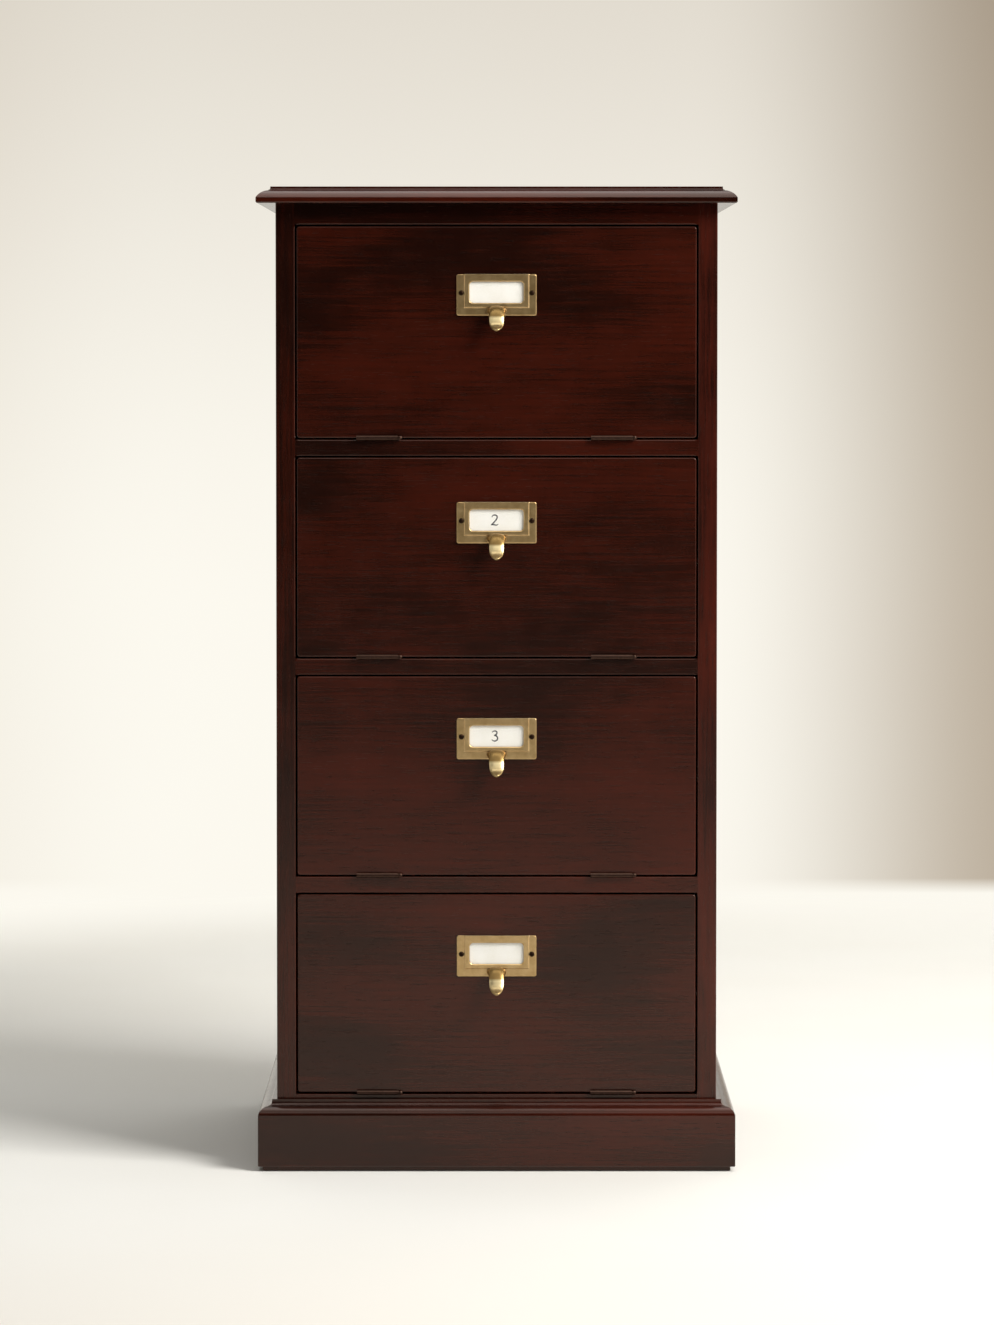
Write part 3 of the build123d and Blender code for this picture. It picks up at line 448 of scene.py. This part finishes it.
@dataclass(frozen=True)
class CardStock:
    """Uncoated white card: a matt, slightly warm white with faint fibres and slow changes of tone."""

    base: str = "#fbfaf4"
    fibre: str = "#f3f1e8"
    fibre_mm: tuple[float, float, float] = (1.6, 1.6, 0.5)
    cloud_mm: float = 22.0
    fibre_tones: tuple[float, float] = (0.18, 0.42)
    fibre_depth: float = 0.02 * MM
    roughness: float = 0.85
    ior: float = 1.5

    def make(self) -> bpy.types.Material:
        """Builds the material.

        Returns:
            The material.
        """
        material, tree = blank_material("uncoated_card")
        place = add(tree, PLACE, out="Object")
        fibres = figure(tree, place, self.fibre_mm, 3.0, 3.0)
        tone = figure(tree, place, (self.cloud_mm,) * 3, 6.0)
        share = add(tree, MATH, {0: fibres, 1: tone}, operation="MULTIPLY")
        share = add(tree, RANGE, {0: share, 1: self.fibre_tones[0], 2: self.fibre_tones[1]})
        colour = add(tree, MIX, {0: share, 6: linear(self.base), 7: linear(self.fibre)}, 2, data_type="RGBA")
        normal = add(tree, BUMP, {"Height": fibres, "Distance": self.fibre_depth})
        shader = add(tree, SURFACE, {
            "Base Color": colour, "Roughness": self.roughness, "Normal": normal, "IOR": self.ior,
        })
        add(tree, "ShaderNodeOutputMaterial", {"Surface": shader}, None)
        return material


@dataclass(frozen=True)
class PenInk:
    """Dried fountain-pen ink: a dull blue black that thins out where the nib moved fast."""

    full: str = "#23242b"
    thin: str = "#6a6b70"
    pool_mm: float = 1.4
    pool_depth: float = 0.01 * MM
    pool_tones: tuple[float, float] = (0.5, 0.75)
    dry_tones: tuple[float, float] = (0.3, 0.7)
    dry_roughness: tuple[float, float] = (0.5, 0.7)
    ior: float = 1.45

    def make(self) -> bpy.types.Material:
        """Builds the material.

        Returns:
            The material.
        """
        material, tree = blank_material("dried_pen_ink")
        pools = figure(tree, add(tree, PLACE, out="Object"), (self.pool_mm,) * 3, 4.0)
        share = add(tree, RANGE, {0: pools, 1: self.pool_tones[0], 2: self.pool_tones[1]})
        colour = add(tree, MIX, {0: share, 6: linear(self.full), 7: linear(self.thin)}, 2, data_type="RGBA")
        rough = add(tree, RANGE, dict(zip(range(5), (pools, *self.dry_tones, *self.dry_roughness))))
        normal = add(tree, BUMP, {"Height": pools, "Distance": self.pool_depth})
        shader = add(tree, SURFACE, {
            "Base Color": colour, "Roughness": rough, "Normal": normal, "IOR": self.ior,
        })
        add(tree, "ShaderNodeOutputMaterial", {"Surface": shader}, None)
        return material


@dataclass(frozen=True)
class PaleBackdrop:
    """Matt painted studio floor and wall: a warm near-white, with a painted fall of light on the wall and
    painted shade at the front of the floor.

    To the eye the wall is brightest low beside the cabinet and greys off upwards, a little to the left and
    most at its right end, all painted into the wall's tone. Each painted falloff of the wall holds its axis,
    where it starts, where it is full and the tone that it ends in. The floor takes the cabinet's shadow near
    it; far from it, and on the wall, the surface glows with the painted tone for the eye and in reflections,
    so that the surroundings stay pale from every side.
    """

    base: str = "#f4f3ee"
    shade: str = "#efede6"
    wall: str = "#fdfaf0"
    wall_shade: str = "#fcf8ee"
    patch_mm: float = 700.0
    patch_tones: tuple[float, float] = (0.35, 0.7)
    # Painted shade: the wall's tone darkens upwards, to the left and most at its right end, a painted fall of
    # light.
    wall_painted_falloff: tuple[tuple[int, float, float, str], ...] = (
        (2, 0.4, 1.8, "#dedad6"), (0, -0.5, -1.2, "#eeeae6"), (0, 0.3, 0.88, "#bcb1a5"),
    )
    # Painted shade: the floor is painted darker towards the front, as a painted fall of light.
    floor_painted_falloff: tuple[float, float, str] = (-0.3, -1.0, "#ebe7df")
    wall_start: tuple[float, float] = (2.0, 2.18)
    glow_start: tuple[float, float] = (1.3, 2.0)

    def make(self) -> bpy.types.Material:
        """Builds the material; its back lets light and sight through, to be seen past from behind.

        Returns:
            The material.
        """
        material, tree = blank_material("painted_backdrop")
        place = add(tree, PLACE, out="Object")
        patches = figure(tree, place, (self.patch_mm,) * 3, 1.0, 3.0)
        share = add(tree, RANGE, {0: patches, 1: self.patch_tones[0], 2: self.patch_tones[1]})
        colour = add(tree, MIX, {0: share, 6: linear(self.base), 7: linear(self.shade)}, 2, data_type="RGBA")
        parts = add(tree, "ShaderNodeSeparateXYZ", {0: place}, None).outputs
        # Painted shade: the floor darkens towards the front.
        start, full, end = self.floor_painted_falloff
        fade = add(tree, RANGE, {0: parts[1], 1: start, 2: full}, interpolation_type="SMOOTHSTEP")
        colour = add(tree, MIX, {0: fade, 6: colour, 7: linear(end)}, 2, data_type="RGBA")
        paint = add(tree, "ShaderNodeBsdfDiffuse", {"Color": colour})

        wall = {0: share, 6: linear(self.wall), 7: linear(self.wall_shade)}
        far_floor = add(tree, MIX, wall, 2, data_type="RGBA")
        tone = far_floor
        # Painted shade: the wall's glowing tone darkens upwards, to the left and most at its right end.
        for axis, start, full, end in self.wall_painted_falloff:
            fade = add(tree, RANGE, {0: parts[axis], 1: start, 2: full}, interpolation_type="SMOOTHSTEP")
            faded = {0: fade, 6: tone, 7: linear(end)}
            tone = add(tree, MIX, faded, 2, data_type="RGBA", blend_type="MULTIPLY")
        upright = add(tree, RANGE, {0: parts[1], 1: self.wall_start[0], 2: self.wall_start[1]})
        tone = add(tree, MIX, {0: upright, 6: far_floor, 7: tone}, 2, data_type="RGBA")
        # Painted light: the wall and the far floor glow with this tone where the eye or a reflection sees
        # them, though no lamp is there.
        glow = add(tree, "ShaderNodeEmission", {"Color": tone, "Strength": 1.0})
        path = add(tree, "ShaderNodeLightPath", out=None).outputs
        seen = add(tree, MATH, {0: path["Is Camera Ray"], 1: path["Is Glossy Ray"]}, operation="MAXIMUM")
        seen = add(tree, MATH, {0: seen, 1: path["Is Transmission Ray"]}, operation="MAXIMUM")
        distance = add(tree, VECTOR_MATH, {0: place}, "Value", operation="LENGTH")
        reach = {0: distance, 1: self.glow_start[0], 2: self.glow_start[1]}
        away = add(tree, RANGE, reach, interpolation_type="SMOOTHSTEP")
        seen = add(tree, MATH, {0: seen, 1: away}, operation="MULTIPLY")
        front = add(tree, "ShaderNodeMixShader", {0: seen, 1: paint, 2: glow})
        past = add(tree, "ShaderNodeNewGeometry", out="Backfacing")
        clear = add(tree, "ShaderNodeBsdfTransparent")
        shader = add(tree, "ShaderNodeMixShader", {0: past, 1: front, 2: clear})
        add(tree, "ShaderNodeOutputMaterial", {"Surface": shader}, None)
        return material


@dataclass(frozen=True)
class Lamp:
    """A soft box: where it hangs, what it points at, how large and how bright it is."""

    name: str
    place: tuple[float, float, float]
    aim: tuple[float, float, float]
    width: float
    height: float
    radiance: float
    tint: str = "#ffffff"

    def hang(self) -> None:
        """Adds the lamp to the scene."""
        light = bpy.data.lights.new(self.name, "AREA")
        light.shape = "RECTANGLE"
        light.size, light.size_y = self.width, self.height
        light.energy = math.pi * self.width * self.height * self.radiance
        light.color = linear(self.tint)[:3]
        lamp = bpy.data.objects.new(self.name, light)
        lamp.location = self.place
        lamp.rotation_euler = (Vector(self.aim) - Vector(self.place)).to_track_quat("-Z", "Y").to_euler()
        bpy.context.scene.collection.objects.link(lamp)


@dataclass
class Studio:
    """Floor, wall, dark screen, lamps, sky and camera."""

    floor_half_width: float = 9.0
    floor_front: float = -3.5
    wall_distance: float = 2.19
    wall_height: float = 2.6
    cove_radius: float = 0.012
    cove_steps: int = 6
    screen_distance: float = 3.3
    screen_half_width: float = 4.0
    screen_height: float = 4.0
    screen_colour: str = "#141312"
    sensor_width_mm: float = 36.0
    focal_length_px: float = 4200.0
    picture_size: tuple[int, int] = (994, 1325)
    camera_distance: float = 4.3484
    camera_height: float = 0.8632
    camera_pitch_deg: float = 2.1
    optical_centre_px: tuple[float, float] = (496.6, 493.4)
    sky_colour: str = "#f8f6f2"
    sky_plain: float = 0.12
    # Painted reflection: the sky's strength where the eye or a reflection sees it, far above the light it
    # gives.
    sky_seen: float = 0.85
    lamps: tuple[Lamp, ...] = field(default_factory=lambda: (
        Lamp("key_lamp", (2.15, -1.5, 2.5), (0.0, 0.0, 0.5), 1.6, 1.4, 19.5, "#fffdfa"),
        Lamp("top_lamp", (0.1, 0.2, 3.0), (0.1, 0.2, 0.0), 2.2, 2.2, 2.1, "#fffefc"),
        Lamp("front_lamp", (0.2, -2.6, 2.8), (0.0, 0.0, 0.6), 2.0, 1.2, 1.0, "#fffdf9"),
    ))

    def strip(self, name: str, points: list[tuple[float, float]], half_width: float) -> bpy.types.Object:
        """Makes a sheet that follows a line of points from front to back.

        Args:
            name: The sheet's name.
            points: Y and Z of each point.
            half_width: Half the sheet's width along X.

        Returns:
            The sheet, facing up and to the front.
        """
        mesh = bpy.data.meshes.new(name)
        corners = [(side * half_width, y, z) for y, z in points for side in (-1, 1)]
        faces = [(2 * n, 2 * n + 1, 2 * n + 3, 2 * n + 2) for n in range(len(points) - 1)]
        mesh.from_pydata(corners, [], faces)
        sheet = bpy.data.objects.new(name, mesh)
        bpy.context.scene.collection.objects.link(sheet)
        return sheet

    def backdrop(self) -> None:
        """Lays the floor and raises it to a wall in a small cove."""
        radius = self.cove_radius
        turn = [math.radians(90.0 * step / self.cove_steps) for step in range(self.cove_steps + 1)]
        start = self.wall_distance - radius
        cove = [(start + radius * math.sin(a), radius - radius * math.cos(a)) for a in turn]
        points = [(self.floor_front, 0.0), *cove, (self.wall_distance, self.wall_height)]
        sheet = self.strip("studio_floor", points, self.floor_half_width)
        sheet.data.materials.append(PaleBackdrop().make())

    def screen(self) -> None:
        """Stands a dark cloth screen behind the camera, which keeps the upper doors' reflections deep."""
        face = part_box("door_1")[0].y - self.screen_distance
        sheet = self.strip("dark_screen", [(face, 0.0), (face, self.screen_height)], self.screen_half_width)
        material, tree = blank_material("dark_cloth")
        cloth = add(tree, "ShaderNodeBsdfDiffuse", {"Color": linear(self.screen_colour)})
        add(tree, "ShaderNodeOutputMaterial", {"Surface": cloth}, None)
        sheet.data.materials.append(material)
        sheet.visible_camera = False

    def sky(self) -> None:
        """Surrounds the studio with a dim plain light that the eye and reflections see far brighter."""
        world = bpy.data.worlds.new("pale_surroundings")
        world.use_nodes = True
        tree = world.node_tree
        tree.nodes.clear()
        path = add(tree, "ShaderNodeLightPath", out=None).outputs
        seen = add(tree, MATH, {0: path["Is Camera Ray"], 1: path["Is Glossy Ray"]}, operation="MAXIMUM")
        seen = add(tree, MATH, {0: seen, 1: path["Is Transmission Ray"]}, operation="MAXIMUM")
        # Painted reflection: the sky shows the eye and reflections a far brighter tone than the light it
        # gives.
        strength = add(tree, RANGE, {0: seen, 3: self.sky_plain, 4: self.sky_seen})
        light = add(tree, "ShaderNodeBackground", {"Color": linear(self.sky_colour), "Strength": strength})
        add(tree, "ShaderNodeOutputWorld", {"Surface": light}, None)
        bpy.context.scene.world = world

    def camera(self) -> None:
        """Sets the camera up as in the photograph, a little above the middle and looking slightly down."""
        width, height = self.picture_size
        camera = bpy.data.cameras.new("camera")
        camera.sensor_width = self.sensor_width_mm
        camera.lens = camera.sensor_width * self.focal_length_px / height
        camera.shift_x = (width / 2 - self.optical_centre_px[0]) / height
        camera.shift_y = (self.optical_centre_px[1] - height / 2) / height
        holder = bpy.data.objects.new("camera", camera)
        holder.location = (0.0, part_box("door_1")[0].y - self.camera_distance, self.camera_height)
        holder.rotation_euler = (math.radians(90.0 - self.camera_pitch_deg), 0.0, 0.0)
        bpy.context.scene.collection.objects.link(holder)
        bpy.context.scene.camera = holder

    def build(self) -> None:
        """Builds the studio and sets how colours are shown."""
        self.backdrop()
        self.screen()
        self.sky()
        for lamp in self.lamps:
            lamp.hang()
        self.camera()
        bpy.context.scene.view_settings.view_transform = "Standard"
        LOG.info("studio: floor, screen, %d lamps and camera", len(self.lamps))


def dress(node: str, material: bpy.types.Material) -> None:
    """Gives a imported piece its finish.

    Args:
        node: The piece's name.
        material: The finish.
    """
    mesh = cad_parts[node].data
    mesh.materials.clear()
    mesh.materials.append(material)
    LOG.info("%s: %s", node, material.name)


def grow(
    name: str, base: bpy.types.Mesh, tree: bpy.types.NodeTree, values: dict[str, object], body: str
) -> None:
    """Runs a Geometry Nodes tree on a mesh, keeps the result as a plain piece and lets it ride on a body.

    Args:
        name: The piece's name.
        base: The mesh that the tree starts from.
        tree: The tree.
        values: The tree's inputs by name.
        body: The body that carries the piece.
    """
    source = bpy.data.objects.new(name + "_source", base)
    bpy.context.scene.collection.objects.link(source)
    modifier = source.modifiers.new(name, "NODES")
    modifier.node_group = tree
    for item in tree.interface.items_tree:
        if item.in_out == "INPUT" and item.name in values:
            modifier[item.identifier] = values[item.name]
    ready = source.evaluated_get(bpy.context.evaluated_depsgraph_get())
    mesh = bpy.data.meshes.new_from_object(ready)
    mesh.name = name
    bpy.data.objects.remove(source)
    piece = bpy.data.objects.new(name, mesh)
    bpy.context.scene.collection.objects.link(piece)
    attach(piece, body)
    LOG.info("%s: %d faces on %s", name, len(mesh.polygons), body)


def geometry_tree(name: str, inputs: dict[str, str]) -> bpy.types.NodeTree:
    """Makes an empty Geometry Nodes tree with one geometry in, one out, and named inputs.

    Args:
        name: The tree's name.
        inputs: Socket type for each named input.

    Returns:
        The tree.
    """
    tree = bpy.data.node_groups.new(name, "GeometryNodeTree")
    tree.interface.new_socket("Geometry", in_out="INPUT", socket_type="NodeSocketGeometry")
    for label, kind in inputs.items():
        tree.interface.new_socket(label, in_out="INPUT", socket_type=kind)
    tree.interface.new_socket("Geometry", in_out="OUTPUT", socket_type="NodeSocketGeometry")
    return tree


@dataclass
class Casework:
    """The case: side panels, face frame, rails, floors, back, top board and plinth."""

    next_pick: float = 13.7
    wood: StainedMahogany = field(default_factory=StainedMahogany)
    moulded: StainedMahogany = field(default_factory=lambda: StainedMahogany(wear=0.1, roughness=0.19))
    # Painted light: a lighter copy of the wood for the right stile, which catches the light from the right.
    lit_stile_wood: StainedMahogany = field(default_factory=lambda: StainedMahogany(
        dark="#200a06", middle="#301009", red="#511b10"))
    inside: StainedMahogany = field(default_factory=lambda: StainedMahogany(
        dark="#2a140d", middle="#3f2117", red="#5c3324", pore="#1c0d08", roughness=0.5, wear=0.2))
    back: StainedMahogany = field(default_factory=lambda: StainedMahogany(
        dark="#3d2216", middle="#543222", red="#6b4531", pore="#2b170e", roughness=0.6, wear=0.2))

    def build(self) -> None:
        """Dresses every board with its own figure along its own grain."""
        boards = [
            ("top_board", self.moulded, Grain.ACROSS_THE_FRONT),
            ("left_side_panel", self.wood, Grain.UPRIGHT),
            ("right_side_panel", self.wood, Grain.UPRIGHT),
            ("left_stile", self.wood, Grain.UPRIGHT),
            # The right stile takes the copy painted lighter, as painted light.
            ("right_stile", self.lit_stile_wood, Grain.UPRIGHT),
            ("top_rail", self.wood, Grain.ACROSS_THE_FRONT),
            ("rail_1", self.wood, Grain.ACROSS_THE_FRONT),
            ("rail_2", self.wood, Grain.ACROSS_THE_FRONT),
            ("rail_3", self.wood, Grain.ACROSS_THE_FRONT),
            ("bottom_rail", self.wood, Grain.ACROSS_THE_FRONT),
            ("plinth_front", self.moulded, Grain.ACROSS_THE_FRONT),
            ("plinth_left", self.moulded, Grain.FRONT_TO_BACK),
            ("plinth_right", self.moulded, Grain.FRONT_TO_BACK),
            ("plinth_back", self.inside, Grain.ACROSS_THE_FRONT),
            ("compartment_floor_1", self.inside, Grain.ACROSS_THE_FRONT),
            ("compartment_floor_2", self.inside, Grain.ACROSS_THE_FRONT),
            ("compartment_floor_3", self.inside, Grain.ACROSS_THE_FRONT),
            ("bottom_floor", self.inside, Grain.ACROSS_THE_FRONT),
            ("top_cleats", self.inside, Grain.ACROSS_THE_FRONT),
            ("plinth_corner_blocks", self.inside, Grain.UPRIGHT),
            ("back_panel", self.back, Grain.UPRIGHT),
        ]
        for number, (node, finish, grain) in enumerate(boards):
            dress(node, finish.make(node, grain, self.next_pick * number))


@dataclass
class Fittings:
    """Finishes of the small fittings, and the fittings that stay on the case."""

    bronze: bpy.types.Material = field(default_factory=lambda: PlatedMetal(
        "bronze_plated_hinges", "#3f2d27", "#2d1f1a", "#6f5849", 0.46, edge_share=0.25).make())
    dark_bronze: bpy.types.Material = field(default_factory=lambda: PlatedMetal(
        "dark_bronze_screws", "#2a1c14", "#170f0b", "#57412e", 0.45, edge_share=0.2).make())
    zinc: bpy.types.Material = field(default_factory=lambda: PlatedMetal(
        "zinc_plated_steel", "#b9bab6", "#a39f93", "#dcdcda", 0.32, stain_mm=6.0).make())
    catch: bpy.types.Material = field(default_factory=lambda: MouldedPlastic(
        "brown_catch_plastic", "#2c1a14", "#46312a").make())
    glide: bpy.types.Material = field(default_factory=lambda: MouldedPlastic(
        "black_glide_plastic", "#1b1b1b", "#333230").make())
    card: bpy.types.Material = field(default_factory=lambda: CardStock().make())
    ink: bpy.types.Material = field(default_factory=lambda: PenInk().make())

    def build(self) -> None:
        """Dresses the fittings that stay on the case."""
        for node, finish in (
            ("frame_hinge_leaves", self.bronze), ("hinge_pins", self.bronze),
            ("hinge_screws", self.dark_bronze), ("carcass_screws", self.zinc), ("stay_studs", self.zinc),
            ("magnetic_catches", self.catch), ("glides", self.glide),
        ):
            dress(node, finish)


@dataclass
class RoundHeads:
    """The round heads of the two pins that hold a card holder: a low dome on a rolled foot."""

    spacing: float = 73.2 * MM
    drop: float = 19.4 * MM
    radius: float = 2.45 * MM
    rise: float = 1.3 * MM
    foot: float = 0.28 * MM
    plate: float = 1.6 * MM
    segments: int = 32
    bead_segments: int = 10

    def tree(self, finish: bpy.types.Material) -> bpy.types.NodeTree:
        """Builds the tree that sets a head on each point.

        Args:
            finish: The heads' finish.

        Returns:
            The tree.
        """
        tree = geometry_tree("round_heads", {
            "Radius": "NodeSocketFloat", "Rise": "NodeSocketFloat", "Foot": "NodeSocketFloat",
        })
        sizes = add(tree, "NodeGroupInput", out=None).outputs
        ball = add(tree, "GeometryNodeMeshUVSphere", {
            "Segments": self.segments, "Rings": self.segments // 2, "Radius": 1.0})
        scale = add(tree, "ShaderNodeCombineXYZ", {0: sizes["Radius"], 1: sizes["Radius"], 2: sizes["Rise"]})
        dome = add(tree, "GeometryNodeTransform", {"Geometry": ball, "Scale": scale})
        line = add(tree, "GeometryNodeCurvePrimitiveCircle", {
            "Resolution": self.segments, "Radius": sizes["Radius"]})
        bead = add(tree, "GeometryNodeCurvePrimitiveCircle", {
            "Resolution": self.bead_segments, "Radius": sizes["Foot"]})
        foot = add(tree, "GeometryNodeCurveToMesh", {"Curve": line, "Profile Curve": bead})
        both = add(tree, "GeometryNodeJoinGeometry", {"Geometry": dome}, None)
        tree.links.new(foot, both.inputs[0])
        upright = (math.radians(90), 0, 0)
        head = add(tree, "GeometryNodeTransform", {"Geometry": both.outputs[0], "Rotation": upright})
        heads = add(tree, "GeometryNodeInstanceOnPoints", {"Points": sizes["Geometry"], "Instance": head})
        solid = add(tree, "GeometryNodeRealizeInstances", {"Geometry": heads})
        smooth = add(tree, "GeometryNodeSetShadeSmooth", {"Geometry": solid, "Shade Smooth": True})
        dressed = add(tree, "GeometryNodeSetMaterial", {"Geometry": smooth, "Material": finish})
        add(tree, "NodeGroupOutput", {0: dressed}, None)
        return tree

    def build(self, number: int, finish: bpy.types.Material) -> None:
        """Puts the heads on one holder.

        Args:
            number: The door's number.
            finish: The heads' finish.
        """
        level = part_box(f"label_holder_{number}")[1].z - self.drop
        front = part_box(f"door_{number}")[0].y - self.plate
        points = bpy.data.meshes.new(f"pin_points_{number}")
        points.from_pydata([(side * self.spacing / 2, front, level) for side in (-1, 1)], [], [])
        values = {"Radius": self.radius, "Rise": self.rise, "Foot": self.foot}
        body = f"door_body_{number}"
        grow(f"pin_heads_{number}", points, self.tree(finish), values, body)


@dataclass
class CardNumeral:
    """A plain numeral written with a pen on a card, as a flat stroke through a few points."""

    height: float = 10.5 * MM
    stroke: float = 1.45 * MM
    film: float = 0.06 * MM
    drop: float = 18.7 * MM
    shift: float = -2.0 * MM
    stroke_points: int = 72
    nib_segments: int = 10
    taper: float = 0.5
    end_width: float = 0.5
    two: tuple[tuple[float, float], ...] = (
        (-0.27, 0.28), (-0.22, 0.42), (-0.05, 0.5), (0.14, 0.47), (0.25, 0.32), (0.2, 0.12), (0.02, -0.12),
        (-0.2, -0.36), (-0.32, -0.47), (-0.22, -0.44), (-0.02, -0.47), (0.18, -0.5), (0.36, -0.4),
    )
    three: tuple[tuple[float, float], ...] = (
        (-0.25, 0.36), (-0.12, 0.48), (0.08, 0.5), (0.22, 0.38), (0.18, 0.18), (-0.02, 0.06), (0.14, 0.02),
        (0.28, -0.14), (0.25, -0.36), (0.06, -0.49), (-0.14, -0.47), (-0.29, -0.34),
    )

    def tree(self, finish: bpy.types.Material) -> bpy.types.NodeTree:
        """Builds the tree that turns a line of points to an ink stroke.

        Args:
            finish: The ink.

        Returns:
            The tree.
        """
        tree = geometry_tree("pen_stroke", {
            "Stroke": "NodeSocketFloat", "Flatness": "NodeSocketFloat", "Place": "NodeSocketVector",
        })
        sizes = add(tree, "NodeGroupInput", out=None).outputs
        line = add(tree, "GeometryNodeMeshToCurve", {0: sizes["Geometry"]})
        round_line = add(tree, "GeometryNodeCurveSplineType", {"Curve": line}, spline_type="CATMULL_ROM")
        points = add(tree, "GeometryNodeResampleCurve", {"Curve": round_line, "Count": self.stroke_points})
        along = add(tree, "GeometryNodeSplineParameter", out="Factor")
        turn = add(tree, MATH, {0: along, 1: math.pi}, operation="MULTIPLY")
        middle = add(tree, MATH, {0: turn}, operation="SINE")
        thin = add(tree, RANGE, {0: middle, 2: self.taper, 3: self.end_width})
        radius = add(tree, MATH, {0: sizes["Stroke"], 1: 0.5}, operation="MULTIPLY")
        profile = add(tree, "GeometryNodeCurvePrimitiveCircle", {
            "Resolution": self.nib_segments, "Radius": radius})
        tube = add(tree, "GeometryNodeCurveToMesh", {
            "Curve": points, "Profile Curve": profile, "Scale": thin, "Fill Caps": True})
        flat = add(tree, "ShaderNodeCombineXYZ", {0: 1.0, 1: sizes["Flatness"], 2: 1.0})
        film = add(tree, "GeometryNodeTransform", {
            "Geometry": tube, "Translation": sizes["Place"], "Scale": flat})
        dressed = add(tree, "GeometryNodeSetMaterial", {"Geometry": film, "Material": finish})
        add(tree, "NodeGroupOutput", {0: dressed}, None)
        return tree

    def build(self, number: int, finish: bpy.types.Material) -> None:
        """Writes the numeral on one card.

        Args:
            number: The door's number, 2 or 3.
            finish: The ink.
        """
        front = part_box(f"label_card_{number}")[0].y
        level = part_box(f"label_holder_{number}")[1].z - self.drop
        shape = {2: self.two, 3: self.three}[number]
        line = bpy.data.meshes.new(f"numeral_line_{number}")
        line.from_pydata([(x * self.height, 0.0, z * self.height) for x, z in shape],
                         [(n, n + 1) for n in range(len(shape) - 1)], [])
        values = {
            "Stroke": self.stroke, "Flatness": self.film / self.stroke,
            "Place": (self.shift, front, level),
        }
        grow(f"card_numeral_{number}", line, self.tree(finish), values, f"door_body_{number}")


@dataclass
class DropDoor:
    """One drop-front door with its card holder, card, hinge leaves, screws, strike plate and stay."""

    number: int
    wood: StainedMahogany = field(default_factory=StainedMahogany)
    brass: AntiqueBrass = field(default_factory=AntiqueBrass)
    heads: RoundHeads = field(default_factory=RoundHeads)
    numeral: CardNumeral = field(default_factory=CardNumeral)
    numbered: tuple[int, ...] = (2, 3)
    first_pick: float = 57.4
    next_pick: float = 29.1
    next_patina: float = 5.3

    def build(self, fittings: Fittings) -> None:
        """Dresses the door's pieces and adds its pin heads and its numeral.

        Args:
            fittings: The finishes that all the doors share.
        """
        mark = f"_{self.number}"
        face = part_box("door" + mark)[0].y
        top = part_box("label_holder" + mark)[1].z
        pick = self.first_pick + self.next_pick * self.number
        dress("door" + mark, self.wood.make("door" + mark, Grain.ACROSS_THE_FRONT, pick))
        patina = self.next_patina * self.number
        dress("label_holder" + mark, self.brass.make("holder" + mark, face, top, patina))
        dress("label_card" + mark, fittings.card)
        dress("door_hinge_leaves" + mark, fittings.bronze)
        dress("door_screws" + mark, fittings.dark_bronze)
        dress("strike_plate" + mark, fittings.zinc)
        dress("stay_bracket" + mark, fittings.zinc)
        dress("stay_arm" + mark, fittings.zinc)
        self.heads.build(self.number, fittings.dark_bronze)
        if self.number in self.numbered:
            self.numeral.build(self.number, fittings.ink)


def main() -> None:
    """Builds the studio and dresses the cabinet."""
    logging.basicConfig(level=logging.INFO, format="%(name)s: %(message)s")
    Studio().build()
    Casework().build()
    fittings = Fittings()
    fittings.build()
    for number in range(1, DOOR_COUNT + 1):
        DropDoor(number).build(fittings)


if __name__ == "__main__":
    main()
